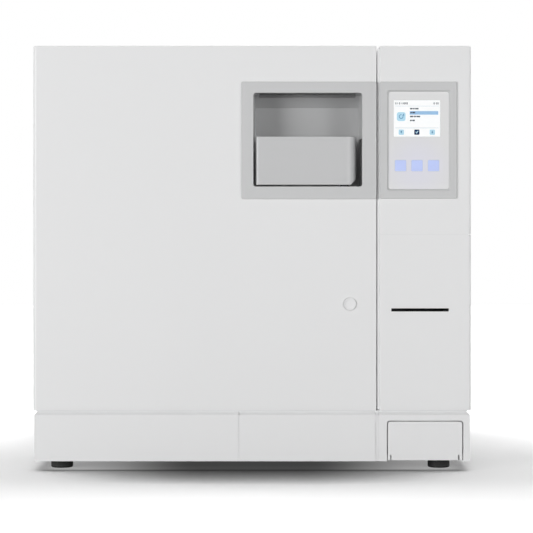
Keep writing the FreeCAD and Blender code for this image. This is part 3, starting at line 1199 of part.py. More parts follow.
def chamber_vessel():
    """Drawn steel vessel with a dished rear end and three ports."""
    a, b = dish_arc(VESSEL_OUTER, DISH_DEPTH)
    c, d = dish_arc(CHAMBER_RADIUS, DISH_DEPTH - CHAMBER_WALL)
    shell = revolve_y([
        (FLANGE_FACE, VESSEL_OUTER), (VESSEL_END, VESSEL_OUTER), (VESSEL_END + a, b, "arc"),
        (VESSEL_END + DISH_DEPTH, 0), (VESSEL_END + DISH_DEPTH - CHAMBER_WALL, 0),
        (VESSEL_END + c, d, "arc"), (VESSEL_END, CHAMBER_RADIUS), (FLANGE_FACE, CHAMBER_RADIUS),
    ], CHAMBER_X, CHAMBER_Z)
    starts = (VESSEL_END + DISH_DEPTH - 1.5, VESSEL_END + 30.5, VESSEL_END + 30.5)
    bosses = [
        rod(PORT_RADIUS, (CHAMBER_X + x, y, CHAMBER_Z + z), AXIS_Y, PORT_END - y)
        for (x, z), y in zip(PORTS, starts)
    ]
    inside = VESSEL_END + 4
    bores = [
        rod(PORT_BORE, (CHAMBER_X + x, inside, CHAMBER_Z + z), AXIS_Y, PORT_END - inside + 1)
        for x, z in PORTS
    ]
    return cut(fuse([shell, *bosses]), bores)


keep("chamber_vessel", chamber_vessel())


def chamber_flange():
    """Mouth flange: machined sealing face in the bulkhead, bolted rim behind."""
    thick = RIM_Y0 - FLANGE_FACE
    face = ring(FLANGE_RADIUS, VESSEL_OUTER, (CHAMBER_X, FLANGE_FACE, CHAMBER_Z), AXIS_Y, thick)
    rim = ring(RIM_RADIUS, VESSEL_OUTER, (CHAMBER_X, RIM_Y0, CHAMBER_Z), AXIS_Y, RIM_Y1 - RIM_Y0)
    bolts = []
    for k in range(RIM_BOLTS):
        turn = 2 * math.pi * (k + 0.5) / RIM_BOLTS
        x = CHAMBER_X + BOLT_CIRCLE * math.cos(turn)
        z = CHAMBER_Z + BOLT_CIRCLE * math.sin(turn)
        bolts.append(rod(4.5, (x, RIM_Y1, z), AXIS_Y, 6))
    return fuse([face, rim, *bolts])


keep("chamber_flange", chamber_flange())
keep("heating_band", ring(
    BAND_RADIUS, VESSEL_OUTER, (CHAMBER_X, BAND_Y0, CHAMBER_Z), AXIS_Y, BAND_LENGTH
))
keep("insulation_blanket", ring(
    BLANKET_RADIUS, BAND_RADIUS, (CHAMBER_X, RIM_Y1, CHAMBER_Z), AXIS_Y, VESSEL_END - 4 - RIM_Y1
))

# ---------------------------------------------------------------- rack and trays
RACK_INNER = 94.0
RACK_SHEET = 1.5
RACK_LOW, RACK_HIGH = -80.6, 72.0
RACK_Y0, RACK_Y1 = FLANGE_FACE + 6, VESSEL_END - 36
RACK_WEB = 20.0          # metal left between two windows
RACK_WINDOWS = 4
TRAY_HALF = 90.0
TRAY_LEVELS = (-55.0, -8.0, 39.0)
TRAY_Y0, TRAY_Y1 = RACK_Y0 + 6, RACK_Y1 - 12
TRAY_HEIGHT = 15.0
TRAY_SHEET = 1.0
TRAY_RADIUS = 6.0
TRAY_EDGE = 14.0         # plain border beside the slots
TRAY_SPINE = 20.0        # plain strip between the two columns of slots
TRAY_SLOTS = 13
TRAY_SLOT = 6.0


def tray_rack():
    """Two windowed side plates, three welded ledges on each, and two tie bars between them."""
    pieces = []
    pitch = (RACK_Y1 - RACK_Y0 - RACK_WEB - 8) / RACK_WINDOWS
    starts = [RACK_Y0 + RACK_WEB + pitch * k for k in range(RACK_WINDOWS)]
    for side in (-1, 1):
        a, b = sorted((side * RACK_INNER, side * (RACK_INNER + RACK_SHEET)))
        plate = box(
            CHAMBER_X + a, CHAMBER_X + b, RACK_Y0, RACK_Y1, CHAMBER_Z + RACK_LOW, CHAMBER_Z + RACK_HIGH
        )
        windows = [
            box(
                CHAMBER_X + a - 1, CHAMBER_X + b + 1, y, y + pitch - RACK_WEB,
                CHAMBER_Z + z + 6, CHAMBER_Z + z + 34,
            )
            for y in starts for z in TRAY_LEVELS[:2]
        ]
        pieces.append(plate.cut(windows))
        for z in TRAY_LEVELS:
            c, d = sorted((side * (TRAY_HALF - 5), side * RACK_INNER))
            pieces.append(box(
                CHAMBER_X + c, CHAMBER_X + d, RACK_Y0, RACK_Y1, CHAMBER_Z + z - RACK_SHEET, CHAMBER_Z + z
            ))
    for y in (RACK_Y0 + 8, RACK_Y1 - 8):
        pieces.append(rod(
            3, (CHAMBER_X - RACK_INNER, y, CHAMBER_Z + RACK_LOW + 6.6), AXIS_X, 2 * RACK_INNER
        ))
    return Part.Compound(pieces)


keep("tray_rack", tray_rack())


def instrument_tray(level):
    """Shallow tray with two columns of cross slots in its floor."""
    x0, x1 = CHAMBER_X - TRAY_HALF, CHAMBER_X + TRAY_HALF
    z0 = CHAMBER_Z + level
    body = rounded_block(x0, x1, TRAY_Y0, TRAY_Y1, z0, z0 + TRAY_HEIGHT, TRAY_RADIUS, AXIS_Z)
    s = TRAY_SHEET
    room = rounded_block(
        x0 + s, x1 - s, TRAY_Y0 + s, TRAY_Y1 - s, z0 + s, z0 + TRAY_HEIGHT + 1, TRAY_RADIUS - s, AXIS_Z
    )
    holes = []
    columns = ((x0 + TRAY_EDGE, CHAMBER_X - TRAY_SPINE / 2), (CHAMBER_X + TRAY_SPINE / 2, x1 - TRAY_EDGE))
    for y in spread(TRAY_Y0 + 20, TRAY_Y1 - 20, TRAY_SLOTS):
        for a, b in columns:
            holes.append(box(a, b, y - TRAY_SLOT / 2, y + TRAY_SLOT / 2, z0 - 1, z0 + s + 1))
    return cut(body, [room, *holes])


keep("instrument_trays", Part.Compound([instrument_tray(level) for level in TRAY_LEVELS]))

# ---------------------------------------------------------------- steam and vacuum
GEN_X = X_COLUMN + 33.4
GEN_Y = Y_CABINET + 83.0
GEN_RADIUS = 42.0
GEN_HEIGHT = 150.0
GEN_Z0 = Z_BASE + 29.0
GEN_Z1 = GEN_Z0 + GEN_HEIGHT
LEG_RADIUS = 5.0
LEG_CIRCLE = 30.0


def steam_generator():
    """Insulated boiler on three legs with a flanged lid and heater terminals."""
    body = rod(GEN_RADIUS, (GEN_X, GEN_Y, GEN_Z0), AXIS_Z, GEN_Z1 - GEN_Z0)
    lid = rod(GEN_RADIUS + 5, (GEN_X, GEN_Y, GEN_Z1 - 16), AXIS_Z, 8)
    legs = []
    for k in range(3):
        turn = math.radians(90 + 120 * k)
        x, y = GEN_X + LEG_CIRCLE * math.cos(turn), GEN_Y + LEG_CIRCLE * math.sin(turn)
        legs.append(rod(LEG_RADIUS, (x, y, PAN_Z1), AXIS_Z, GEN_Z0 - PAN_Z1 + 1))
    terminals = [rod(3, (GEN_X + dx, GEN_Y - 20, GEN_Z1), AXIS_Z, 12) for dx in (-12, 0, 12)]
    return fuse([body, lid, *legs, *terminals])


keep("steam_generator", steam_generator())

BLOCK_WIDTH = 70.0
BLOCK_DEPTH = 45.0
BLOCK_HEIGHT = 30.0
BLOCK_X0 = GEN_X - 52.0
BLOCK_X1 = BLOCK_X0 + BLOCK_WIDTH
BLOCK_Y1 = Y_PANEL - 97.0
BLOCK_Y0 = BLOCK_Y1 - BLOCK_DEPTH
BLOCK_Z0 = Z_BASE + 119.0
BLOCK_Z1 = BLOCK_Z0 + BLOCK_HEIGHT
FOOT_Y0 = BLOCK_Y0 + 8.0  # front of the block's foot
PUMP_LENGTH = 164.0      # base plate
PUMP_SHIFT = -1.0        # from the middle of the room between boiler and valve block
PUMP_HALF = 42.0
PUMP_X, PUMP_Z = GEN_X - 1.0, Z_BASE + 51.0
PUMP_Y0 = (GEN_Y + GEN_RADIUS + FOOT_Y0 - PUMP_LENGTH) / 2 + PUMP_SHIFT
PUMP_Y1 = PUMP_Y0 + PUMP_LENGTH
MOTOR_RADIUS = 32.0
FIN_RADIUS = 36.0
FIN_COUNT = 9
HEAD_DEPTH = 32.0
HEAD_HALF = 34.0
HEAD_Y1 = PUMP_Y1 - 4.0
HEAD_Y0 = HEAD_Y1 - HEAD_DEPTH


def vacuum_pump():
    """Diaphragm pump: finned motor, head, saddle and base plate."""
    x, z = PUMP_X, PUMP_Z
    start = PUMP_Y0 + 8
    motor = rod(MOTOR_RADIUS, (x, start, z), AXIS_Y, HEAD_Y0 + 2 - start)
    fins = [
        ring(FIN_RADIUS, MOTOR_RADIUS - 2, (x, y, z), AXIS_Y, 3)
        for y in spread(PUMP_Y0 + 23, HEAD_Y0 - 20, FIN_COUNT)
    ]
    head = rounded_block(
        x - MOTOR_RADIUS, x + MOTOR_RADIUS, HEAD_Y0, HEAD_Y1, z - HEAD_HALF, z + HEAD_HALF, 6, AXIS_Y
    )
    saddle = box(x - 22, x + 22, PUMP_Y0 + 13, HEAD_Y0 - 2, PAN_Z1 + 3, z)
    base = box(x - PUMP_HALF, x + PUMP_HALF, PUMP_Y0, PUMP_Y1, PAN_Z1, PAN_Z1 + 4)
    return fuse([motor, *fins, head, saddle, base])


keep("vacuum_pump", vacuum_pump())

SPIGOT_X, SPIGOT_Z = BLOCK_X0 + 10.0, BLOCK_Z0 + 8.0
SPIGOT_RADIUS = 6.0
SPIGOT_LENGTH = 11.0
SPIGOT_END = Y_REAR - 1.0
COIL_XS = (BLOCK_X0 + 13.0, BLOCK_X0 + 36.0, BLOCK_X0 + 58.0)
COIL_Y = BLOCK_Y0 + 22.0
COIL_HEIGHT = 30.0


def valve_block():
    """Machined manifold on a bracket, with three coils and the rear outlet spigot."""
    block = box(BLOCK_X0, BLOCK_X1, BLOCK_Y0, BLOCK_Y1, BLOCK_Z0, BLOCK_Z1)
    foot = box(BLOCK_X0 + 25, BLOCK_X0 + 55, FOOT_Y0, FOOT_Y0 + 30, PAN_Z1, PAN_Z1 + 3)
    post = box(BLOCK_X0 + 30, BLOCK_X0 + 46, FOOT_Y0 + 10, FOOT_Y0 + 15, PAN_Z1, BLOCK_Z0 + 1)
    coils = [rod(10, (x, COIL_Y, BLOCK_Z1), AXIS_Z, COIL_HEIGHT) for x in COIL_XS]
    caps = [rod(4, (x, COIL_Y, BLOCK_Z1 + COIL_HEIGHT), AXIS_Z, 5) for x in COIL_XS]
    tail = rod(SPIGOT_RADIUS - 1, (SPIGOT_X, BLOCK_Y1, SPIGOT_Z), AXIS_Y, SPIGOT_END - BLOCK_Y1)
    spigot = rod(SPIGOT_RADIUS, (SPIGOT_X, SPIGOT_END - SPIGOT_LENGTH, SPIGOT_Z), AXIS_Y, SPIGOT_LENGTH)
    whole = fuse([block, foot, post, *coils, *caps, tail, spigot])
    return whole.cut(rod(SPIGOT_RADIUS - 3, (SPIGOT_X, BLOCK_Y1, SPIGOT_Z), AXIS_Y, DEPTH))


keep("valve_block", valve_block())


def safety_valve():
    """Spring-loaded valve on the vessel's centre port, with a hexagon and a lift ring."""
    x, z = CHAMBER_X, CHAMBER_Z
    neck = rod(7, (x, PORT_END, z), AXIS_Y, 10)
    nut = hexagon(12, (x, PORT_END + 6, z), 10)
    bonnet = rod(9, (x, PORT_END + 16, z), AXIS_Y, 26)
    tip = rod(2, (x, PORT_END + 42, z), AXIS_Y, 12)
    loop = Part.makeTorus(8, 1.2, V(x, PORT_END + 50, z + 8), AXIS_X)
    return fuse([neck, nut, bonnet, tip, loop])


keep("safety_valve", safety_valve())

# ---------------------------------------------------------------- condenser and fan
FAN_X, FAN_Z = GEN_X - 2.0, CHAMBER_Z + 2.0
FAN_HALF = 55.0
FAN_DEPTH = 23.0
FAN_Y1 = Y_PANEL - SHEET
FAN_Y0 = FAN_Y1 - FAN_DEPTH
FAN_BORE = 50.0
FAN_AXLE = 2.5
FAN_HUB = 17.0
FAN_BLADES = 7
CORE_DEPTH = 52.8        # condenser in front of the fan
CORE_Y0 = FAN_Y0 - CORE_DEPTH
CORE_FINS = 20
CORE_INLET_Z = FAN_Z - 35.0


def condenser():
    """Finned block between two headers."""
    y0, y1 = CORE_Y0, FAN_Y0
    fins = [
        box(x, x + 0.8, y0 + 4, y1 - 2, FAN_Z - FAN_HALF + 2, FAN_Z + FAN_HALF - 2)
        for x in spread(FAN_X - 48, FAN_X + 47.2, CORE_FINS)
    ]
    tubes = [
        rod(4, (FAN_X - 50, y, z), AXIS_X, 100)
        for y in (y0 + 13, y0 + 37) for z in spread(FAN_Z - 42, FAN_Z + 42, 5)
    ]
    headers = [
        box(FAN_X + a, FAN_X + b, y0, y1, FAN_Z - FAN_HALF, FAN_Z + FAN_HALF)
        for a, b in ((-55, -49), (49, 55))
    ]
    inlet = box(FAN_X + 4, FAN_X + 50, y0, y0 + 6, CORE_INLET_Z - 10, CORE_INLET_Z + 10)
    return fuse([*fins, *tubes, *headers, inlet])


keep("condenser", condenser())


def fan_frame():
    """Square fan housing with a motor plate, four struts and a fixed axle."""
    body = rounded_block(
        FAN_X - FAN_HALF, FAN_X + FAN_HALF, FAN_Y0, FAN_Y1, FAN_Z - FAN_HALF, FAN_Z + FAN_HALF, 5, AXIS_Y
    ).cut(rod(FAN_BORE, (FAN_X, FAN_Y0 - 1, FAN_Z), AXIS_Y, 30))
    plate = rod(FAN_HUB, (FAN_X, FAN_Y0, FAN_Z), AXIS_Y, 4)
    struts = []
    for k in range(4):
        strut = box(FAN_X, FAN_X + FAN_BORE + 2, FAN_Y0, FAN_Y0 + 4, FAN_Z - 2, FAN_Z + 2)
        strut.rotate(V(FAN_X, 0, FAN_Z), AXIS_Y, 45 + 90 * k)
        struts.append(strut)
    axle = rod(FAN_AXLE, (FAN_X, FAN_Y0, FAN_Z), AXIS_Y, 18)
    return fuse([body, plate, *struts, axle])


keep("fan_frame", fan_frame())


def fan_rotor():
    """Hub with seven pitched blades."""
    y0 = FAN_Y0 + 4.6
    hub = rod(FAN_HUB, (FAN_X, y0, FAN_Z), AXIS_Y, 15)
    blades = []
    for k in range(FAN_BLADES):
        blade = box(FAN_X + FAN_HUB - 3, FAN_X + FAN_BORE - 3, y0 + 6.6, y0 + 8.4, FAN_Z - 8, FAN_Z + 8)
        blade.rotate(V(FAN_X, y0 + 7.5, FAN_Z), AXIS_X, 38)
        blade.rotate(V(FAN_X, 0, FAN_Z), AXIS_Y, 360 / FAN_BLADES * k)
        blades.append(blade)
    whole = fuse([hub, *blades])
    return whole.cut(rod(FAN_AXLE + RUNNING_FIT, (FAN_X, y0 - 1, FAN_Z), AXIS_Y, 17))


keep("fan_rotor", fan_rotor())

# ---------------------------------------------------------------- water tank
TANK_MARGIN = 5.0        # tank walls outside the lid's opening
TANK_RIM = 6.0
TANK_RADIUS = 14.0
TANK_X0, TANK_X1 = LID_X0 - TANK_MARGIN, LID_X1 + TANK_MARGIN
TANK_Y0, TANK_Y1 = LID_Y0 - TANK_MARGIN, LID_Y1 + TANK_MARGIN
TANK_Z0 = CHAMBER_Z + RIM_RADIUS + 3.0
TANK_Z1 = Z_TOP - SHEET
TANK_WALL = 3.0
PARTITION_X = (TANK_X0 + TANK_X1) / 2
PARTITION_Z1 = Z_TOP - LID_LIP - 3


def water_tank():
    """Open tank hung under the cover by its rim: fresh water left, used water right."""
    w = TANK_WALL
    body = rounded_block(TANK_X0, TANK_X1, TANK_Y0, TANK_Y1, TANK_Z0, TANK_Z1, TANK_RADIUS, AXIS_Z)
    rim = rounded_block(
        TANK_X0 - TANK_RIM, TANK_X1 + TANK_RIM, TANK_Y0 - TANK_RIM, TANK_Y1 + TANK_RIM,
        TANK_Z1 - 2, TANK_Z1, TANK_RADIUS + TANK_RIM, AXIS_Z,
    )
    room = rounded_block(
        TANK_X0 + w, TANK_X1 - w, TANK_Y0 + w, TANK_Y1 - w, TANK_Z0 + w, TANK_Z1 + 1, TANK_RADIUS - w, AXIS_Z
    )
    wall = box(PARTITION_X - w / 2, PARTITION_X + w / 2, TANK_Y0 + 1, TANK_Y1 - 1, TANK_Z0 + 1, PARTITION_Z1)
    return fuse([fuse([body, rim]).cut(room), wall])


keep("water_tank", water_tank())

# ---------------------------------------------------------------- electrics
PB_LENGTH = 160.0
PB_HEIGHT = 152.0
PB_Y0 = Y_PANEL - 292.0
PB_Z0 = FAN_Z - 60.0
PB_STANDOFF = 8.0        # board to the cover
# transformer, two relays and terminal strip: start, length, foot, height, how far they stand
PB_BLOCKS = ((30, 50, 15, 47, 36), (95, 20, 15, 30, 20), (120, 20, 15, 30, 20), (100, 50, 130, 15, 8))
SINK_FINS = 6


def power_board():
    """Board on posts from the right cover, with transformer, relays and heat sink."""
    x1 = X_RIGHT - SHEET
    x0 = x1 - PB_STANDOFF
    face = x0 + BOARD_THICK
    pcb = box(x0, face, PB_Y0, PB_Y0 + PB_LENGTH, PB_Z0, PB_Z0 + PB_HEIGHT)
    posts = [
        rod(3, (face, PB_Y0 + y, PB_Z0 + z), AXIS_X, x1 - face) for y in (6, PB_LENGTH - 10)
        for z in (6, PB_HEIGHT - 6)
    ]
    blocks = [
        box(x0 - tall, x0, PB_Y0 + y, PB_Y0 + y + length, PB_Z0 + z, PB_Z0 + z + height)
        for y, length, z, height, tall in PB_BLOCKS
    ]
    cans = [rod(11, (x0 - 28, PB_Y0 + y, PB_Z0 + 100), AXIS_X, 28) for y in (40, 70)]
    sink = [
        box(x0 - 26, x0, y, y + 2, PB_Z0 + 75, PB_Z0 + 120)
        for y in spread(PB_Y0 + 100, PB_Y0 + 130, SINK_FINS)
    ]
    return fuse([pcb, *posts, *blocks, *cans, *sink])


keep("power_board", power_board())

INLET_X, INLET_Z = X_RIGHT - 55.0, Z_PLINTH + 34.0


def mains_inlet():
    """Three-pole appliance inlet in the rear panel."""
    x, z = INLET_X, INLET_Z
    body = box(x - 14, x + 14, Y_PANEL - 20, Y_PANEL, z - 10.5, z + 10.5)
    flange = rounded_block(x - 24, x + 24, Y_PANEL, Y_PANEL + 2.5, z - 14, z + 14, 4, AXIS_Y)
    well = rounded_block(x - 12, x + 12, Y_PANEL - 14, Y_PANEL + 3, z - 8.2, z + 8.2, 2, AXIS_Y)
    pins = [box(x + dx - 1, x + dx + 1, Y_PANEL - 15, Y_PANEL - 1, z - 2, z + 2) for dx in (-7, 0, 7)]
    blades = [box(x + dx - 3, x + dx + 3, Y_PANEL - 28, Y_PANEL - 20, z - 0.4, z + 0.4) for dx in (-9, 0, 9)]
    return fuse([fuse([body, flange]).cut(well), *pins, *blades])


keep("mains_inlet", mains_inlet())

# ---------------------------------------------------------------- pipework
PIPE = 4.0
BEND = 8.0


def pipework():
    """Steam, drain, vacuum, feed and tank lines."""
    steam_x, drain_z = CHAMBER_X + PORTS[2][0], CHAMBER_Z + PORTS[1][1]
    y, z = PORT_END + 11, CHAMBER_Z - 26
    steam = pipe([
        (GEN_X, GEN_Y, GEN_Z1), (GEN_X, GEN_Y, z), (GEN_X, y, z),
        (steam_x, y, z), (steam_x, y, CHAMBER_Z), (steam_x, PORT_END, CHAMBER_Z),
    ], PIPE, BEND)
    x, y, z = BLOCK_X0 + 35, PORT_END + 21, BLOCK_Z0 + 21
    drain = pipe([
        (CHAMBER_X, PORT_END, drain_z), (CHAMBER_X, y, drain_z), (CHAMBER_X, y, z),
        (x, y, z), (x, BLOCK_Y1, z),
    ], PIPE, BEND)
    x, y, z = PUMP_X + 11, CORE_Y0 - 10, PUMP_Z + 52
    outlet_y = (HEAD_Y0 + HEAD_Y1) / 2 - 1
    vacuum = pipe([
        (x, outlet_y, PUMP_Z + HEAD_HALF), (x, outlet_y, z), (x, y, z),
        (x, y, CORE_INLET_Z), (x, CORE_Y0, CORE_INLET_Z),
    ], PIPE, BEND)
    x0, x1, y0, y1 = TANK_X1 - 20, GEN_X - 17, TANK_Y0 + 65, GEN_Y + 10
    high, low = TANK_Z0 - 14, GEN_Z1 + 16
    feed = pipe([
        (x0, y0, TANK_Z0), (x0, y0, high), (x1, y0, high), (x1, y0, low), (x1, y1, low), (x1, y1, GEN_Z1),
    ], PIPE, BEND)
    hose_end = BAY_BACK + BAY_WALL + HOSE_TAIL
    x, y, z = CHAMBER_X + RIM_RADIUS + 12, Y_CABINET + 19, TANK_Z0 + 15
    fresh = pipe([
        (DRAIN_XS[0], hose_end, DRAIN_Z), (DRAIN_XS[0], y, DRAIN_Z), (x, y, DRAIN_Z),
        (x, y, z), (x, TANK_Y0 + 25, z), (TANK_X1, TANK_Y0 + 25, z),
    ], PIPE, BEND)
    x, y, z = X_RIGHT - 19, Y_CABINET + 25, TANK_Z0 + 31
    used = pipe([
        (DRAIN_XS[1], hose_end, DRAIN_Z), (DRAIN_XS[1], y, DRAIN_Z), (x, y, DRAIN_Z),
        (x, y, z), (x, TANK_Y0 + 85, z), (TANK_X1, TANK_Y0 + 85, z),
    ], PIPE, BEND)
    return Part.Compound([steam, drain, vacuum, feed, fresh, used])


keep("pipework", pipework())

# ---------------------------------------------------------------- rear panel
SCREW_INSET = 15.0
SCREW_COLUMNS = 4
SCREW_XS = spread(X_LEFT + SCREW_INSET, X_RIGHT - SCREW_INSET, SCREW_COLUMNS)
SCREW_SPOTS = [(x, z) for x in SCREW_XS for z in (Z_PLINTH + 13.0, Z_TOP - 11.0)]
BUMPER_INSET = 50.0
BUMPER_XS = (X_LEFT + BUMPER_INSET, X_RIGHT - BUMPER_INSET)
BUMPER_SPOTS = [(x, z) for x in BUMPER_XS for z in (Z_PLINTH + 81.0, Z_TOP - 55.0)]
PANEL_VENT_XS = (X_LEFT + 55.0, X_LEFT + 135.0)
PANEL_VENT_WIDTH = 60.0
PANEL_VENT_ROWS = 10


def rear_panel():
    """Rear sheet with fan grille, inlet cut-out, outlet hole and screw holes."""
    x1 = X_RIGHT - BASE_INSET - PAN_SHEET - FIT
    y0, y1 = FAN_Y1, Y_PANEL
    sheet = box(-x1, x1, y0, y1, Z_PLINTH, Z_TOP - SHEET - 3 * FIT)
    disc = rod(FAN_BORE - 2, (FAN_X, y0 - 1, FAN_Z), AXIS_Y, 5)
    grille = [
        box(FAN_X - 60, FAN_X + 60, y0 - 1, y1 + 1, z, z + 5).common(disc)
        for z in spread(FAN_Z - 44, FAN_Z + 39, 10)
    ]
    inlet = box(INLET_X - 14.3, INLET_X + 14.3, y0 - 1, y1 + 1, INLET_Z - 10.8, INLET_Z + 10.8)
    outlet = rod(SPIGOT_RADIUS - 0.5, (SPIGOT_X, y0 - 1, SPIGOT_Z), AXIS_Y, 5)
    screws = [rod(1.7, (x, y0 - 1, z), AXIS_Y, 5) for x, z in SCREW_SPOTS]
    vents = [
        box(x, x + PANEL_VENT_WIDTH, y0 - 1, y1 + 1, z, z + 3)
        for x in PANEL_VENT_XS for z in spread(Z_TOP - 165, Z_TOP - 93, PANEL_VENT_ROWS)
    ]
    return cut(sheet, [*grille, inlet, outlet, *screws, *vents])


keep("rear_panel", rear_panel())
keep("rear_bumpers", Part.Compound([
    fuse([rod(13, (x, Y_PANEL, z), AXIS_Y, 4), rod(10, (x, Y_PANEL + 3, z), AXIS_Y, Y_REAR - Y_PANEL - 3)])
    for x, z in BUMPER_SPOTS
]))


def screw(x, z):
    """Pan-head screw with a straight slot."""
    head = rod(4, (x, Y_PANEL, z), AXIS_Y, 2.2)
    slot = box(x - 5, x + 5, Y_PANEL + 1.2, Y_PANEL + 3, z - 0.6, z + 0.6)
    shank = rod(1.6, (x, FAN_Y1 - 4, z), AXIS_Y, Y_PANEL - FAN_Y1 + 4.5)
    return fuse([head.cut(slot), shank])


keep("cover_screws", Part.Compound([screw(x, z) for x, z in SCREW_SPOTS]))

# ---------------------------------------------------------------- write the pieces
os.makedirs("parts", exist_ok=True)
for name, shape in NODES.items():
    shape.exportStep("parts/" + name + ".step")
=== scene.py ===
import math

import bmesh
import bpy
from mathutils import Matrix, Vector


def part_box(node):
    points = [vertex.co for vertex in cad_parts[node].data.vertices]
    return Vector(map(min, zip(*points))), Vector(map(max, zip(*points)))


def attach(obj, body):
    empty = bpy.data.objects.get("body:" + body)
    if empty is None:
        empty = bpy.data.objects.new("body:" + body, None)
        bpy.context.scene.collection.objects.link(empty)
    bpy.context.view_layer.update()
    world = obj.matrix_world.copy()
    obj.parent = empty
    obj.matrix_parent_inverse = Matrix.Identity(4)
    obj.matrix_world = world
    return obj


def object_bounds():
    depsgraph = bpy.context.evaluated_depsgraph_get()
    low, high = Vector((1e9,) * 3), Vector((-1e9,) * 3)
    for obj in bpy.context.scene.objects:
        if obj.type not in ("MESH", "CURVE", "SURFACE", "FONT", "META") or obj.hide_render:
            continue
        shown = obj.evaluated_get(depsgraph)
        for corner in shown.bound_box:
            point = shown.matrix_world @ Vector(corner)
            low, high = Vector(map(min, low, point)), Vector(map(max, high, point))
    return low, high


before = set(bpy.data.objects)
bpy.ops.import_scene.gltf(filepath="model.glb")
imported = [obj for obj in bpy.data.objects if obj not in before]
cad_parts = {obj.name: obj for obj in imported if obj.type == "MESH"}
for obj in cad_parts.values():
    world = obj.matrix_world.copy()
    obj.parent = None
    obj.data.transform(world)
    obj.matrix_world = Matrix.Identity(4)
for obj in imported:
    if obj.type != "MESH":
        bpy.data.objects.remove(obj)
cad_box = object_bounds()

# Camera: eye level a little below the middle of the front, square to the door,
# with a long lens from about two metres, as for a catalogue view.
EYE_DISTANCE = 2.2       # from the foremost face
EYE = Vector((0.0169, cad_box[0].y - EYE_DISTANCE, 0.2377))
FIELD = 0.6199           # width seen at the front of the machine
SENSOR = 36.0            # width of the sensor, in millimetres
camera_data = bpy.data.cameras.new("catalogue_camera")
camera_data.sensor_width = SENSOR
camera_data.lens = SENSOR * EYE_DISTANCE / FIELD
camera_data.clip_end = 50.0
camera = bpy.data.objects.new("catalogue_camera", camera_data)
camera.location = EYE
camera.rotation_euler = (math.radians(90), 0, 0)
bpy.context.scene.collection.objects.link(camera)
bpy.context.scene.camera = camera


# Rubber feet: four moulded discs of black nitrile, snapped into the base pan,
# matt and slightly dusty, with a fine moulded grain.
def fill(tree, node, sockets):
    """Sets a node's inputs: each takes a plain value or another node's output."""
    for socket, value in sockets.items():
        if isinstance(value, bpy.types.NodeSocket):
            tree.links.new(value, node.inputs[socket])
        else:
            node.inputs[socket].default_value = value


def add(tree, kind, sockets, **settings):
    """Adds a node of a kind; its settings are made before its inputs."""
    node = tree.nodes.new("ShaderNode" + kind)
    for setting, value in settings.items():
        setattr(node, setting, value)
    fill(tree, node, sockets)
    return node


def begin(name):
    """Starts a material: gives it, its tree, its shader and the piece's own coordinates."""
    mat = bpy.data.materials.new(name)
    mat.use_nodes = True
    tree = mat.node_tree
    place = add(tree, "TexCoord", {}).outputs["Object"]
    return mat, tree, tree.nodes["Principled BSDF"], place


def noise(tree, place, scale, **sockets):
    """Soft random pattern, as a share."""
    return add(tree, "TexNoise", {"Vector": place, "Scale": scale, **sockets}).outputs["Fac"]


def cells(tree, place, scale):
    """Pattern of small cells, as the distance from the middle of each."""
    return add(tree, "TexVoronoi", {"Vector": place, "Scale": scale}).outputs["Distance"]


def relief(tree, height, strength, depth):
    """Fine relief of a pattern, up to a depth in metres."""
    bump = add(tree, "Bump", {"Height": height, "Strength": strength, "Distance": depth})
    return bump.outputs["Normal"]


DUST = (1.9, 1.85, 1.8)  # how much lighter dust makes the rubber, by channel


def rubber(name, shade):
    mat, tree, shader, place = begin(name)
    tint = add(tree, "ValToRGB", {"Fac": noise(tree, place, scale=90, Detail=4)})
    clean, dusty = tint.color_ramp.elements
    clean.position, clean.color = 0.35, (shade, shade, shade, 1)
    dusty.position, dusty.color = 0.8, (*[shade * share for share in DUST], 1)
    fill(tree, shader, {
        "Base Color": tint.outputs["Color"],
        "Normal": relief(tree, noise(tree, place, scale=2400), strength=0.25, depth=0.0002),
        "Roughness": 0.72,
    })
    return mat


def finish_node(node, mat):
    """Gives a carried-over node its finish."""
    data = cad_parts[node].data
    data.materials.clear()
    data.materials.append(mat)


finish_node("rubber_feet", rubber("foot_rubber", 0.009))


# Sheet-metal body: base pan, folded cover, rear panel and front bulkhead in 1.2 to
# 3 mm steel with an off-white powder coat, matt and with a very fine orange-peel skin.
def shaded(colour, share):
    """Colour made darker or lighter by a share."""
    return tuple(min(1, channel * share) for channel in colour)


def blend(tree, share, low, high):
    """Colour that goes from low to high with a share; high may come from another node."""
    high = high if isinstance(high, bpy.types.NodeSocket) else (*high, 1)
    mix = add(tree, "Mix", {"Factor": share, "A": (*low, 1), "B": high}, data_type="RGBA")
    return mix.outputs["Result"]


def ramp(tree, value, low, high, start=0, stop=1, curve="LINEAR"):
    """Level that goes from low to high while a value goes from start to stop."""
    return add(tree, "MapRange", {
        "Value": value, "From Min": start, "From Max": stop, "To Min": low, "To Max": high,
    }, interpolation_type=curve).outputs["Result"]


def powder_coat(name, colour, gloss=0.6):
    mat, tree, shader, place = begin(name)
    drift = noise(tree, place, scale=4.5, Detail=3)
    peel = noise(tree, place, scale=700, Detail=2)
    fill(tree, shader, {
        "Base Color": blend(tree, drift, shaded(colour, 0.985), shaded(colour, 1.012)),
        "Roughness": ramp(tree, peel, gloss - 0.04, gloss + 0.06),
        "Specular IOR Level": 0.25,
        "Normal": relief(tree, peel, strength=0.12, depth=0.0002),
    })
    return mat


cover_coat = powder_coat("cover_powder_coat", (0.775, 0.778, 0.782))
for node in ("base_pan", "outer_cover", "rear_panel", "front_frame"):
    finish_node(node, cover_coat)


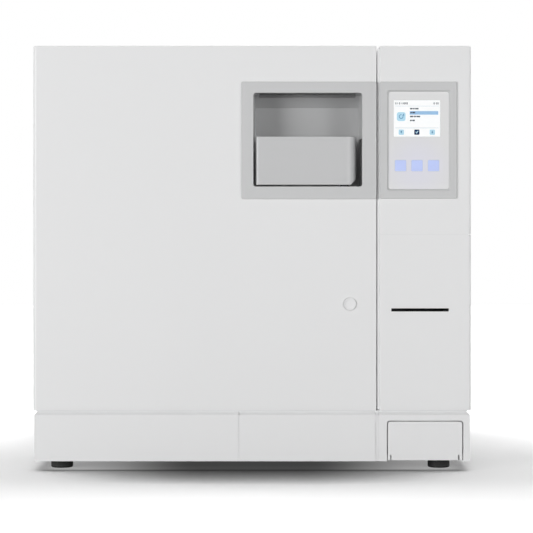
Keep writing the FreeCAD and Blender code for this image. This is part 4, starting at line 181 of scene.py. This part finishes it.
# Mouldings of the front: door, column, plinth and flap in white ABS, satin, with a
# spark-eroded grain that is only seen from close by; the tank's lid is more matt.
def moulding(name, colour, gloss=0.45, grain=0.1, shine=0.5):
    mat, tree, shader, place = begin(name)
    flow = noise(tree, place, scale=3, Detail=2, Distortion=0.6)
    fill(tree, shader, {
        "Base Color": blend(tree, flow, shaded(colour, 0.988), shaded(colour, 1.01)),
        "Normal": relief(tree, cells(tree, place, scale=1600), strength=grain, depth=0.0001),
        "Roughness": ramp(tree, flow, gloss - 0.03, gloss + 0.07),
        "Specular IOR Level": shine,
    })
    return mat


WHITE_ABS = (0.785, 0.787, 0.79)
white_abs = moulding("white_moulding", WHITE_ABS)
for node in (
    "door_shell", "column_fascia", "printer_door", "printer_bay", "skirt_left",
    "skirt_centre", "service_bay", "service_flap",
):
    finish_node(node, white_abs)
finish_node("tank_lid", moulding("lid_moulding", WHITE_ABS, gloss=0.6, shine=0.25))

# Edge strips: light grey profiles clipped along the column and the plinth to keep dust
# out: in the gap beside the door, under the door and the column, in the plinth's groove
# and behind its seam, and behind the seam of the printer door.
GAP_DEPTH = 0.001        # each depth is behind the face of the mouldings
SEAM_DEPTH = 0.0012
GROOVE_DEPTH = 0.001
SKIRT_DEPTH = 0.0005
SILL_DEPTH = 0.0032
STRIP_THICK = 0.003
STRIP_SHORT = 0.004      # a strip stops this far short of the moulding's end
SILL_CLEAR = 0.0002      # left free under the door
door_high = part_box("door_shell")[1]
column_low, column_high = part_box("column_fascia")
skirt_low, skirt_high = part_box("skirt_centre")
left_low, left_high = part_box("skirt_left")
bay_low, bay_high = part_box("service_bay")
paper_low, paper_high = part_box("printer_door")


def box_form(low, high):
    """Form of a plain box between two corners."""
    form = bmesh.new()
    bmesh.ops.create_cube(form, size=1.0)
    middle, size = (low + high) / 2, high - low
    for vert in form.verts:
        vert.co = Vector([m + c * s for m, c, s in zip(middle, vert.co, size)])
    return form


def make_piece(name, form, mat):
    """Makes a piece of a form, in one material."""
    mesh = bpy.data.meshes.new(name)
    form.to_mesh(mesh)
    form.free()
    mesh.materials.append(mat)
    piece = bpy.data.objects.new(name, mesh)
    bpy.context.scene.collection.objects.link(piece)
    return piece


def strip(name, x, z, depth, mat):
    """Plain rectangular profile that starts at a depth behind the front."""
    front = column_low.y + depth
    low = Vector((x[0], front, z[0]))
    high = Vector((x[1], front + STRIP_THICK, z[1]))
    piece = make_piece(name, box_form(low, high), mat)
    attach(piece, "cabinet")


strip_white = moulding("strip_white", (0.8, 0.802, 0.806), gloss=0.5, grain=0.2)
strip_grey = moulding("strip_grey", (0.76, 0.762, 0.766), gloss=0.55, grain=0.2)
sill_z = (bay_high.z, paper_low.z - SILL_CLEAR)
gap_x = (door_high.x + 0.001, column_low.x)
gap_z = (sill_z[1] + 0.001, column_high.z - STRIP_SHORT)
strip("column_edge_strip", gap_x, gap_z, GAP_DEPTH, strip_grey)
sill_x = (left_low.x + 0.002, paper_high.x - STRIP_SHORT)
strip("sill_strip", sill_x, sill_z, SILL_DEPTH, strip_grey)
groove_x = (skirt_high.x, bay_low.x)
skirt_x = (left_high.x, skirt_low.x)
wall_z = (bay_low.z, bay_high.z - STRIP_SHORT)
corner_z = (bay_high.z - STRIP_SHORT, bay_high.z)
strip("plinth_groove_strip", groove_x, wall_z, GROOVE_DEPTH, strip_grey)
strip("plinth_seam_strip", skirt_x, wall_z, SKIRT_DEPTH, strip_white)
strip("plinth_seam_corner", skirt_x, corner_z, SILL_DEPTH, strip_white)
strip("plinth_corner_strip", groove_x, corner_z, SILL_DEPTH, strip_grey)
seam_x = (column_low.x + 0.0005, column_high.x - 0.003)
seam_z = (paper_high.z, column_low.z)
strip("printer_seam_strip", seam_x, seam_z, SEAM_DEPTH, strip_grey)

# Release plug: round white pull in the door, a shade lighter and glossier than the
# door so that it is found easily, with a raised ring round its head.
finish_node("release_plug", moulding("plug_moulding", (0.8, 0.802, 0.806), gloss=0.35))

# Grey mouldings: surround, finger recess and lever of the handle, and the surround of the
# controls, in self-coloured light grey plastic with a coarser grain; the finger recess is a
# darker grey, which is painted shade.
surround_grey = moulding("surround_grey", (0.565, 0.568, 0.572), gloss=0.5, grain=0.2)
for node in ("handle_bezel", "control_bezel"):
    finish_node(node, surround_grey)
# Painted shade: the recess's grey is darker than the surround's, for the shade inside the finger
# recess.
recess_painted_shade_grey = moulding("recess_painted_shade_grey", (0.445, 0.448, 0.452), gloss=0.55, grain=0.25)
finish_node("handle_cup", recess_painted_shade_grey)
lever_grey = moulding("lever_grey", (0.54, 0.543, 0.548), gloss=0.42, grain=0.15)
finish_node("handle_lever", lever_grey)


# Control window: milky acrylic panel set in its surround; light from the lamps behind
# the keys spreads a little way through it, so it is faintly lavender round them.
def lit_panel(name, colour, glow, centre, reach):
    mat, tree, shader, place = begin(name)
    away = add(tree, "VectorMath", {0: place, 1: centre}, operation="DISTANCE")
    fade = ramp(tree, away.outputs["Value"], 1, 0, stop=reach, curve="SMOOTHSTEP")
    fill(tree, shader, {
        "Base Color": blend(tree, fade, colour, glow),
        "Roughness": ramp(tree, noise(tree, place, scale=60), low=0.16, high=0.24),
    })
    return mat


GLOW_REACH = 0.05
keys_low, keys_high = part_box("touch_keys")
window_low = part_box("control_window")[0]
key_middle = (keys_low + keys_high) / 2
glow_centre = (key_middle.x, window_low.y, key_middle.z)
finish_node("control_window", lit_panel(
    "milky_acrylic", (0.755, 0.755, 0.757), (0.75, 0.75, 0.83), glow_centre, GLOW_REACH,
))


# Touch keys: three square light guides in glossy plastic, set behind the acrylic and
# lit evenly in lavender.
def lamp(name, colour, strength, spread=0.06):
    mat, tree, shader, place = begin(name)
    dim, bright = shaded(colour, 1 - spread), shaded(colour, 1 + spread)
    shade = blend(tree, noise(tree, place, scale=130), dim, bright)
    fill(tree, shader, {
        "Base Color": shade, "Emission Color": shade,
        "Emission Strength": strength, "Roughness": 0.25,
    })
    return mat


finish_node("touch_keys", lamp("key_light", (0.55, 0.64, 1.0), 0.02, spread=0.03))

# Screen: a 2.8-inch colour panel behind its own glass. It shows a clock line, a menu
# with one row picked out, a cycle symbol and three soft buttons, all generic.
finish_node("display_module", lamp("screen_white", (0.93, 0.945, 0.95), 0.13, spread=0.006))
SCREEN_WIDTH, SCREEN_HEIGHT = 0.0541, 0.0424
ASPECT = SCREEN_WIDTH / SCREEN_HEIGHT
screen_low, screen_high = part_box("display_module")
SCREEN_LEFT = screen_low.x + 0.0015
SCREEN_TOP = screen_high.z - 0.004
SCREEN_SKIN = 0.00004
SKIN_SHARE = 0.6         # how much of its layer a printed shape fills
INK_DARK = lamp("ink_dark", (0.045, 0.055, 0.085), 0.0)
INK_GREY = lamp("ink_grey", (0.1, 0.115, 0.14), 0.01)
INK_RULE = lamp("ink_rule", (0.4, 0.47, 0.53), 0.02)
INK_ROW = lamp("ink_row", (0.33, 0.545, 0.79), 0.03)
INK_SKY = lamp("ink_sky", (0.47, 0.73, 0.88), 0.03)
INK_BLUE = lamp("ink_blue", (0.12, 0.32, 0.52), 0.01)
INK_NAVY = lamp("ink_navy", (0.006, 0.026, 0.085), 0.0)


def screen_point(across, down, layer):
    """Place on the glass from shares of its width and height, one skin deep per layer."""
    return Vector((
        SCREEN_LEFT + across * SCREEN_WIDTH,
        screen_low.y - layer * SCREEN_SKIN,
        SCREEN_TOP - down * SCREEN_HEIGHT,
    ))


def screen_shape(name, outline, ink, layer=1):
    """Flat printed shape on the glass, with a skin's thickness."""
    form = bmesh.new()
    front = [form.verts.new(screen_point(x, y, layer)) for x, y in outline]
    face = form.faces.new(front)
    grown = bmesh.ops.extrude_face_region(form, geom=[face])
    for vert in (v for v in grown["geom"] if isinstance(v, bmesh.types.BMVert)):
        vert.co.y += SCREEN_SKIN * SKIN_SHARE
    bmesh.ops.recalc_face_normals(form, faces=form.faces)
    piece = make_piece(name, form, ink)
    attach(piece, "cabinet")


CORNER_STEPS = 6
CORNER_TURN = 18         # degrees from one point of a corner to the next


def rounded_outline(left, top, right, bottom, corner):
    """Outline of a rounded tile in shares of the screen; corner is a share of its width."""
    tall = corner * SCREEN_WIDTH / SCREEN_HEIGHT
    points = []
    for x, y, start in (
        (right - corner, top + tall, 270), (right - corner, bottom - tall, 0),
        (left + corner, bottom - tall, 90), (left + corner, top + tall, 180),
    ):
        for step in range(CORNER_STEPS):
            turn = math.radians(start + CORNER_TURN * step)
            points.append((x + corner * math.cos(turn), y + tall * math.sin(turn)))
    return points


def bar(name, left, top, right, bottom, ink, layer=1):
    """Printed rectangle."""
    outline = [(left, top), (right, top), (right, bottom), (left, bottom)]
    screen_shape(name, outline, ink, layer)


# Clock line: figures for a date on the left and the time on the right, drawn with the
# straight strokes of a small screen font, over a thin rule.
SEGMENTS = {"0": "abcdef", "1": "bc", "2": "abged"}
DIGIT_TOP, DIGIT_WIDTH, DIGIT_HEIGHT = 0.062, 0.021, 0.052
DIGIT_STEP = 0.03        # from one figure to the next
DIGIT_PEN = DIGIT_WIDTH * 0.38
MARK_TOP, MARK_WIDTH, MARK_HEIGHT = 0.082, 0.006, 0.008


def digit(name, figure, left, ink):
    """One figure of the clock line."""
    pen, top = DIGIT_PEN, DIGIT_TOP
    flat = pen * SCREEN_WIDTH / SCREEN_HEIGHT
    middle = top + DIGIT_HEIGHT / 2
    right, bottom = left + DIGIT_WIDTH, top + DIGIT_HEIGHT
    strokes = {
        "a": (left, top, right, top + flat), "d": (left, bottom - flat, right, bottom),
        "g": (left, middle - flat / 2, right, middle + flat / 2),
        "f": (left, top, left + pen, middle), "e": (left, middle, left + pen, bottom),
        "b": (right - pen, top, right, middle), "c": (right - pen, middle, right, bottom),
    }
    for stroke in SEGMENTS[figure]:
        bar(name + "_" + stroke, *strokes[stroke], ink)


for group, figures, left, gap in (
    ("date", "0101", 0.035, 0.018), ("year", "2000", 0.19, 0), ("clock", "1200", 0.838, 0.014),
):
    for spot, figure in enumerate(figures):
        across = left + DIGIT_STEP * spot + (gap if spot > 1 else 0)
        digit("%s_%d" % (group, spot), figure, across, INK_DARK)
for place, across in (("day", 0.098), ("month", 0.176), ("hour", 0.904)):
    bar(place + "_mark", across, MARK_TOP, across + MARK_WIDTH, MARK_TOP + MARK_HEIGHT, INK_DARK)
bar("header_rule", 0.03, 0.157, 0.97, 0.164, INK_RULE)
bar("footer_rule", 0.03, 0.757, 0.965, 0.766, INK_RULE)

# Menu: four rows of words between the rules, each word a plain bar, with the second
# row picked out on a blue ground.
bar("picked_row", 0.342, 0.298, 0.958, 0.397, INK_ROW)
MENU_LEFT = 0.348
WORD_HALF = 0.02         # half the height of a word
ROWS = (
    ("row_one", 0.232, INK_GREY, ((0, 0.055), (0.065, 0.1), (0.11, 0.185))),
    ("row_two", 0.34, INK_DARK, ((0.006, 0.045), (0.052, 0.11))),
    ("row_three", 0.447, INK_GREY, ((0, 0.07), (0.08, 0.13), (0.14, 0.22))),
    ("row_four", 0.556, INK_GREY, ((0, 0.04), (0.05, 0.105))),
)
for name, down, ink, words in ROWS:
    for count, (start, stop) in enumerate(words):
        bar(
            "%s_%d" % (name, count), MENU_LEFT + start, down - WORD_HALF,
            MENU_LEFT + stop, down + WORD_HALF, ink, 2,
        )

# Cycle symbol: rounded square tile with an open ring and its arrow head, the sign for
# a cycle, printed in two layers of ink.
CYCLE_X, CYCLE_Y = 0.159, 0.45
RING_OUTER, RING_INNER = 0.048, 0.032
RING_TURNS = [math.radians(-20 + 12.5 * step) for step in range(25)]


def ring_points(radius):
    """Points along the open ring, at a radius in shares of the screen's width."""
    return [(
        CYCLE_X + radius * math.cos(turn), CYCLE_Y + radius * ASPECT * math.sin(turn),
    ) for turn in RING_TURNS]


screen_shape("cycle_tile", rounded_outline(0.066, 0.328, 0.252, 0.572, 0.045), INK_SKY)
screen_shape("cycle_ring", ring_points(RING_OUTER) + ring_points(RING_INNER)[::-1], INK_BLUE, 2)
screen_shape("cycle_arrow", [
    (CYCLE_X + 0.022, CYCLE_Y - 0.018), (CYCLE_X + 0.066, CYCLE_Y - 0.03),
    (CYCLE_X + 0.052, CYCLE_Y - 0.085),
], INK_BLUE, 2)

# Soft buttons: up and down in pale blue and a dark one with a tick between them, under
# the lower rule.
BUTTON_HALF, BUTTON_DOWN, BUTTON_CORNER = 0.057, 0.878, 0.02
UP_ACROSS, OK_ACROSS, DOWN_ACROSS = 0.162, 0.496, 0.83
ARROW_HALF, STEM_HALF = 0.022, 0.007
for name, across, ink in (
    ("button_up", UP_ACROSS, INK_SKY), ("button_ok", OK_ACROSS, INK_NAVY),
    ("button_down", DOWN_ACROSS, INK_SKY),
):
    screen_shape(name, rounded_outline(
        across - BUTTON_HALF, BUTTON_DOWN - BUTTON_HALF * ASPECT,
        across + BUTTON_HALF, BUTTON_DOWN + BUTTON_HALF * ASPECT, BUTTON_CORNER,
    ), ink)
screen_shape("tick", [
    (0.466, 0.872), (0.477, 0.858), (0.49, 0.885), (0.519, 0.836), (0.53, 0.85), (0.491, 0.918),
], INK_SKY, 2)
for name, across, way in (("arrow_up", UP_ACROSS, -1), ("arrow_down", DOWN_ACROSS, 1)):
    blunt, tip = BUTTON_DOWN - way * 0.006, BUTTON_DOWN + way * 0.042
    screen_shape(name, [
        (across - ARROW_HALF, blunt), (across + ARROW_HALF, blunt), (across, tip),
    ], INK_BLUE, 2)
    bar(
        name + "_stem", across - STEM_HALF, BUTTON_DOWN - 0.04,
        across + STEM_HALF, BUTTON_DOWN + 0.03, INK_BLUE, 2,
    )


# Stainless parts: vessel, flange, door liner, pressure plate, rack, trays, boiler and
# pipes in 304 sheet, brushed along the machine or polished on the sealing face.
def stainless(name, stretch, roughness=0.28, tint=(0.64, 0.638, 0.63)):
    mat, tree, shader, place = begin(name)
    pull = add(tree, "Mapping", {"Vector": place, "Scale": stretch})
    brush = noise(tree, pull.outputs["Vector"], scale=1, Detail=5)
    fill(tree, shader, {
        "Metallic": 1,
        "Base Color": blend(tree, brush, shaded(tint, 0.88), shaded(tint, 1.08)),
        "Roughness": ramp(tree, brush, roughness - 0.08, roughness + 0.14),
        "Normal": relief(tree, brush, strength=0.08, depth=0.0001),
    })
    return mat


drawn_steel = stainless("drawn_stainless", (900, 12, 900))
sheet_steel = stainless("brushed_stainless", (10, 900, 900))
tube_steel = stainless("tube_stainless", (300, 300, 300), roughness=0.22)
for node in ("chamber_vessel", "steam_generator"):
    finish_node(node, drawn_steel)
for node in ("door_liner", "tray_rack", "instrument_trays"):
    finish_node(node, sheet_steel)
for node in ("pipework", "safety_bolt"):
    finish_node(node, tube_steel)


# Turned faces: the flange and the pressure plate are faced on a lathe, which leaves
# faint rings round their middle.
WAVE_RADIANS = 20        # a wave pattern of scale 1 turns by this much in a metre
RING_RADIAN = 0.0009     # one radian of the rings, which are 2 pi of these apart


def wave_scale(radian):
    """Scale of a wave pattern that turns by one radian in a length."""
    return 1 / radian / WAVE_RADIANS


def turned_steel(name, centre):
    mat = stainless(name, (60, 60, 60), roughness=0.2, tint=(0.68, 0.678, 0.67))
    tree = mat.node_tree
    place = add(tree, "TexCoord", {}).outputs["Object"]
    shift = add(tree, "Mapping", {"Vector": place, "Location": (-centre.x, 0, -centre.z)})
    rings = add(tree, "TexWave", {
        "Vector": shift.outputs["Vector"], "Scale": wave_scale(RING_RADIAN),
    }, wave_type="RINGS", rings_direction="Y")
    fill(tree, tree.nodes["Principled BSDF"], {
        "Normal": relief(tree, rings.outputs["Fac"], strength=0.1, depth=0.0001),
    })
    return mat


flange_low, flange_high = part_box("chamber_flange")
mouth = (flange_low + flange_high) / 2
finish_node("chamber_flange", turned_steel("turned_flange", mouth))
finish_node("pressure_plate", turned_steel("turned_plate", mouth))


# Door gasket: moulded ring of translucent silicone with a soft lip, which looks a
# little cloudy.
def silicone(name, colour):
    mat, tree, shader, place = begin(name)
    cloud = noise(tree, place, scale=35)
    fill(tree, shader, {
        "Base Color": blend(tree, cloud, shaded(colour, 0.93), colour),
        "Roughness": ramp(tree, cloud, low=0.38, high=0.5),
        "Subsurface Weight": 0.25,
        "Subsurface Radius": (0.004, 0.003, 0.003),
    })
    return mat


finish_node("door_gasket", silicone("gasket_silicone", (0.66, 0.655, 0.63)))


# Plated steel: hinges, crossbar, latch, keeper, lock coil frame, couplings and screws,
# zinc plated, with the faint cloudy spangle that plating has.
def plated(name, tint=(0.6, 0.6, 0.59)):
    mat, tree, shader, place = begin(name)
    spangle = cells(tree, place, scale=240)
    fill(tree, shader, {
        "Metallic": 1,
        "Base Color": blend(tree, spangle, shaded(tint, 0.9), shaded(tint, 1.08)),
        "Roughness": ramp(tree, spangle, low=0.3, high=0.42),
    })
    return mat


zinc = plated("zinc_plate")
for node in (
    "hinge_arms", "hinge_leaves", "door_crossbar", "latch_bar", "latch_keeper",
    "lock_solenoid", "drain_couplings", "cover_screws",
):
    finish_node(node, zinc)

# Black-oxide steel: the toothed bar that the paper is torn on, and the handle's shaft
# with its crank disc and pin, both dark and slightly dull.
for node in ("tear_bar", "handle_shaft"):
    finish_node(node, plated("black_oxide", tint=(0.022, 0.022, 0.024)))

# Brass: valve block with its outlet spigot, and the safety valve, machined and
# slightly darkened by handling.
brass = plated("machined_brass", tint=(0.74, 0.55, 0.26))
for node in ("valve_block", "safety_valve"):
    finish_node(node, brass)

# Condenser: block of thin aluminium fins on rows of tubes between two headers, in
# front of the fan, bright and fine.
finish_node("condenser", plated("fin_aluminium", tint=(0.72, 0.73, 0.74)))

# Black plastic: printer frame, switch, fan and mains inlet, moulded in black; the
# switch's rocker is a shade lighter and glossier than its frame.
black_abs = moulding("black_moulding", (0.028, 0.028, 0.03), gloss=0.42, grain=0.3)
for node in (
    "printer_mechanism", "main_switch_frame", "fan_frame", "fan_rotor", "mains_inlet",
):
    finish_node(node, black_abs)
finish_node("main_switch_rocker", moulding("rocker_moulding", (0.04, 0.04, 0.043), gloss=0.28))

# Rubber at the back and in the printer: bumpers that keep the machine off the wall,
# and the platen roller that feeds the paper.
finish_node("rear_bumpers", rubber("bumper_rubber", 0.03))
finish_node("platen_roller", rubber("platen_rubber", 0.04))

# Paper roll and tank: white thermal paper wound in a roll, and the open water tank,
# moulded in natural polypropylene, which looks a little waxy.
finish_node("paper_roll", moulding("thermal_paper", (0.84, 0.84, 0.82), gloss=0.6))
finish_node("water_tank", silicone("tank_polypropylene", (0.74, 0.76, 0.76)))

# Pump: motor with cooling fins and its head, in metal painted dark grey, which is
# glossier than the cover's powder coat.
finish_node("vacuum_pump", powder_coat("motor_paint", (0.12, 0.13, 0.145), gloss=0.35))


# Insulation: glass-fibre blanket with a plain weave, wrapped round the vessel, and
# the foil-faced heater band under it.
def reckon(tree, operation, *values):
    """Result of a sum, product or comparison."""
    return add(tree, "Math", dict(enumerate(values)), operation=operation).outputs["Value"]


def woven(name, colour, radian):
    mat, tree, shader, place = begin(name)
    threads = [add(tree, "TexWave", {
        "Vector": place, "Scale": wave_scale(radian),
    }, bands_direction=direction).outputs["Fac"] for direction in ("X", "Y")]
    weave = reckon(tree, "MAXIMUM", *threads)
    fill(tree, shader, {
        "Base Color": blend(tree, weave, shaded(colour, 0.6), colour),
        "Normal": relief(tree, weave, strength=0.5, depth=0.0005),
        "Roughness": 0.9,
    })
    return mat


CLOTH_RADIAN = 0.002     # one radian of the weave, which repeats in 2 pi of these
finish_node("insulation_blanket", woven("glass_cloth", (0.7, 0.68, 0.62), CLOTH_RADIAN))
finish_node("heating_band", plated("heater_foil", tint=(0.7, 0.7, 0.7)))


# Circuit boards: laminate under green resist with tinned pads, fixed on posts; what
# stands up from a board is black.
CONTROL_FACE = 0.0092    # behind the front ends of the control board's posts
POWER_FACE = 0.0072      # inside the right-hand ends of the power board's posts
FACE_MARGIN = 0.001      # what lies this far either side of the face is green
PAD_SIZE = 0.22          # share of the way across a cell


def board(name, axis, level):
    mat, tree, shader, place = begin(name)
    split = add(tree, "SeparateXYZ", {"Vector": place})
    at_face = reckon(tree, "COMPARE", split.outputs[axis], level, FACE_MARGIN)
    tinned = reckon(tree, "LESS_THAN", cells(tree, place, scale=180), PAD_SIZE)
    resist = blend(tree, tinned, (0.015, 0.12, 0.045), (0.5, 0.5, 0.46))
    fill(tree, shader, {
        "Base Color": blend(tree, at_face, (0.03, 0.03, 0.032), resist),
        "Roughness": 0.4,
    })
    return mat


control_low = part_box("control_board")[0]
control_resist = board("control_board_resist", "Y", control_low.y + CONTROL_FACE)
finish_node("control_board", control_resist)
power_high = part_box("power_board")[1]
power_resist = board("power_board_resist", "X", power_high.x - POWER_FACE)
finish_node("power_board", power_resist)

# Rocker marks: the on and off signs, printed in white on the two halves of the
# rocker's face, a bar on the upper half and a ring on the lower one.
TUBE_SIDES = 48
PRINT = 0.00012          # how far a print or a foil stands off its ground
PIVOT_Y = -0.232
RIDGE_OUT = 0.0038       # from the pivot to the ridge between the halves
ROCKER_REST = math.radians(8)
FACE_SLOPE = math.atan2(1.7, 10.1)   # each half of the rocker's face leans out by this
BAR_HALF, BAR_LOW, BAR_HIGH = 0.0005, 0.0025, 0.0075
RING_DOWN, SIGN_OUTER, SIGN_INNER = 0.005, 0.0025, 0.0017


def tube(name, centre, axis, outer, inner, length, mat, body):
    """Ring of rectangular section that rises from its centre along an axis."""
    form = bmesh.new()
    turn = Vector(axis).to_track_quat("Z", "Y")
    rings = []
    for radius, rise in ((inner, 0), (outer, 0), (outer, length), (inner, length)):
        ring = []
        for k in range(TUBE_SIDES):
            angle = math.tau * k / TUBE_SIDES
            point = Vector((radius * math.cos(angle), radius * math.sin(angle), rise))
            ring.append(form.verts.new(Vector(centre) + turn @ point))
        rings.append(ring)
    for near, far in zip(rings, rings[1:] + rings[:1]):
        for k in range(TUBE_SIDES):
            after = (k + 1) % TUBE_SIDES
            form.faces.new((near[k], near[after], far[after], far[k]))
    piece = make_piece(name, form, mat)
    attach(piece, body)


def slab(name, low, high, turn, mat, body):
    """Flat rectangular piece between two corners, turned by a matrix."""
    form = box_form(Vector(low), Vector(high))
    for vert in form.verts:
        vert.co = turn @ vert.co
    piece = make_piece(name, form, mat)
    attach(piece, body)


switch_low, switch_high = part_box("main_switch_frame")
switch_middle = (switch_low + switch_high) / 2
pivot = Vector((switch_middle.x, PIVOT_Y, switch_middle.z))
ridge = pivot + Matrix.Rotation(ROCKER_REST, 3, "X") @ Vector((0, -RIDGE_OUT, 0))
upper = Matrix.Translation(ridge) @ Matrix.Rotation(ROCKER_REST + FACE_SLOPE, 4, "X")
lower = Matrix.Rotation(ROCKER_REST - FACE_SLOPE, 3, "X")
print_white = moulding("print_white", (0.78, 0.78, 0.78), gloss=0.6)
slab(
    "on_mark", (-BAR_HALF, -PRINT, BAR_LOW), (BAR_HALF, PRINT, BAR_HIGH), upper,
    print_white, "rocker",
)
tube(
    "off_mark", ridge + lower @ Vector((0, PRINT, -RING_DOWN)), lower @ Vector((0, -1, 0)),
    SIGN_OUTER, SIGN_INNER, 2 * PRINT, print_white, "rocker",
)

# Coupling bands: plastic rings clipped round the hose couplings, blue for fresh water
# and grey for used water, so that the hoses aren't changed over.
BAND_Y, BAND_Z = -0.2525, 0.036
BAND_OUTER, BAND_INNER, BAND_WIDTH = 0.0088, 0.0084, 0.003
for name, x, colour in (
    ("fresh_band", 0.176, (0.05, 0.22, 0.62)), ("used_band", 0.2, (0.2, 0.2, 0.21)),
):
    tube(
        name, (x, BAND_Y, BAND_Z), (0, -1, 0), BAND_OUTER, BAND_INNER, BAND_WIDTH,
        moulding(name + "_plastic", colour, gloss=0.5, grain=0.2), "cabinet",
    )

# Rear plate: bare foil plate stuck on the rear panel, where the machine's data would
# be printed; it is left blank.
PLATE_X, PLATE_Z = (-0.215, -0.145), (0.2, 0.25)
panel_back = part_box("rear_panel")[1].y
slab(
    "rear_plate", (PLATE_X[0], panel_back, PLATE_Z[0]),
    (PLATE_X[1], panel_back + PRINT, PLATE_Z[1]), Matrix.Identity(4),
    stainless("plate_foil", (1, 1, 40), 0.4, (0.72, 0.72, 0.73)), "cabinet",
)

# Studio floor: pale seamless paper that the machine throws a soft shadow on. Its colour draws it
# white to the camera and keeps the shadow;
# to the camera it also holds a painted shadow, darker the nearer the machine and deepest in the
# middle where the plinth nearly meets it.
# Under the machine towards either end, a faint glow that only the camera sees is painted light.
FLOOR_REACH = 9.0
# Painted shadow: the floor's colour, as the camera sees it, is darkened by nearness to the
# machine and shaped by place with these figures.
SHADOW_REACH = 0.16      # how far off the machine still darkens the floor
SHADOW_LEAN = (0, 0.7, 0.7)          # the way it is looked for: up and to the back
BOUNCE_TONE = (0.25, 0.25, 0.25)     # for the light that the floor throws back
MIDDLE, TONE_END, BITE_END = 0.05, 0.28, 0.25    # out from the middle line, either side
DEEP_TONE, END_TONE = 0.12, 0.84     # in the shadow, in the middle and at the ends
DEEP_BITE, END_BITE = 4.5, 1.3       # how steeply the shadow sets in there
FLOOR_TURN = 0.2         # the floor gets lighter from this far in front to this far behind
FRONT_TONE, WALL_TONE = 1.08, 1.48   # out of the shadow, in front and behind
# Painted light under the machine: a faint glow that only the camera sees, where the floor is
# shut in, stronger towards either end.
DARK_UNDER, LIT_UNDER = 0.05, 0.3    # how shut in the floor is where light spills on it
SPILL_START, SPILL_STOP = 0.07, 0.21
SPILL_LOW, SPILL_HIGH = 0.05, 0.28   # strength of that light, inwards and outwards


def seen_share(tree, rays):
    """One for what the camera sees, straight or by way of a mirror or a window."""
    mirrored = reckon(tree, "MAXIMUM", rays["Is Glossy Ray"], rays["Is Transmission Ray"])
    return reckon(tree, "MAXIMUM", rays["Is Camera Ray"], mirrored)


paper_mat = bpy.data.materials.new("studio_paper")
paper_mat.use_nodes = True
paper = paper_mat.node_tree
paper.nodes.clear()
rays = add(paper, "LightPath", {}).outputs
axes = add(paper, "SeparateXYZ", {
    "Vector": add(paper, "TexCoord", {}).outputs["Object"],
}).outputs
sideways = reckon(paper, "ABSOLUTE", axes["X"])
nearness = add(paper, "AmbientOcclusion", {
    "Distance": SHADOW_REACH, "Normal": SHADOW_LEAN,
}, samples=16).outputs["AO"]
painted_shadow_depth = ramp(paper, sideways, DEEP_TONE, END_TONE, MIDDLE, TONE_END, "SMOOTHSTEP")
bite = ramp(paper, sideways, DEEP_BITE, END_BITE, MIDDLE, BITE_END, "SMOOTHSTEP")
far = ramp(paper, axes["Y"], FRONT_TONE, WALL_TONE, -FLOOR_TURN, FLOOR_TURN, "SMOOTHSTEP")
# Painted shadow: the floor's colour for the camera, darker near the machine.
painted_shadow = ramp(paper, reckon(paper, "POWER", nearness, bite), painted_shadow_depth, far)
tone = blend(paper, seen_share(paper, rays), BOUNCE_TONE, painted_shadow)
sheet = add(paper, "BsdfDiffuse", {"Color": tone})
# Painted light: a faint glow seen only by the camera on the floor under the machine.
under = ramp(paper, nearness, 1, 0, DARK_UNDER, LIT_UNDER)
painted_spill = ramp(paper, sideways, SPILL_LOW, SPILL_HIGH, SPILL_START, SPILL_STOP, "SMOOTHSTEP")
seen_under = reckon(paper, "MULTIPLY", rays["Is Camera Ray"], under)
faint = add(paper, "Emission", {"Strength": reckon(paper, "MULTIPLY", seen_under, painted_spill)})
together = add(paper, "AddShader", {0: sheet.outputs["BSDF"], 1: faint.outputs["Emission"]})
add(paper, "OutputMaterial", {"Surface": together.outputs["Shader"]})
floor_form = bmesh.new()
floor_form.faces.new([floor_form.verts.new((x, y, 0)) for x, y in (
    (-FLOOR_REACH, -FLOOR_REACH), (FLOOR_REACH, -FLOOR_REACH),
    (FLOOR_REACH, FLOOR_REACH), (-FLOOR_REACH, FLOOR_REACH),
)])
floor = make_piece("studio_floor", floor_form, paper_mat)

# Backdrop: white all round where the camera sees it, and only a faint glow as light,
# so that the banks alone shape the machine.
BACKDROP_GLOW = 0.08
world = bpy.data.worlds.new("studio")
bpy.context.scene.world = world
world.use_nodes = True
sky = world.node_tree
sky_seen = seen_share(sky, add(sky, "LightPath", {}).outputs)
fill(sky, sky.nodes["Background"], {
    "Color": (1, 1, 1, 1), "Strength": ramp(sky, sky_seen, BACKDROP_GLOW, 1.0),
})

# Front banks: a soft box on a stand at either side in front, turned to the middle of
# the machine; the left one is the key light.
BANK_SIDE, BANK_FRONT, BANK_HEIGHT = 3.6, -3.9, 0.35
BANK_AIM = Vector((0, -0.3, 0.25))
BANK_SIZE = (2.6, 2.0)
for name, x, power in (("left_bank", -BANK_SIDE, 262), ("right_bank", BANK_SIDE, 166)):
    bank = bpy.data.lights.new(name, "AREA")
    bank.shape = "RECTANGLE"
    bank.size, bank.size_y = BANK_SIZE
    bank.energy = power
    bank_piece = bpy.data.objects.new(name, bank)
    bank_piece.location = (x, BANK_FRONT, BANK_HEIGHT)
    aim = BANK_AIM - Vector((x, BANK_FRONT, BANK_HEIGHT))
    bank_piece.rotation_euler = aim.to_track_quat("-Z", "Y").to_euler()
    bpy.context.scene.collection.objects.link(bank_piece)

# Overhead bank: a long ceiling box a little behind the machine, made of five wide suns
# side by side, so that the floor is lit evenly as far as the wall.
CEILING_BACK = -0.45
CEILING_SPREAD = math.radians(27)
CEILING_POWER = 0.56
for lean in (-0.9, -0.45, 0.0, 0.45, 0.9):
    bank = bpy.data.lights.new("ceiling_bank", "SUN")
    bank.angle = CEILING_SPREAD
    bank.energy = CEILING_POWER
    bank_piece = bpy.data.objects.new("ceiling_bank", bank)
    aim = Vector((-lean, CEILING_BACK, -1))
    bank_piece.rotation_euler = aim.to_track_quat("-Z", "Y").to_euler()
    bpy.context.scene.collection.objects.link(bank_piece)

bpy.context.scene.view_settings.view_transform = "Standard"
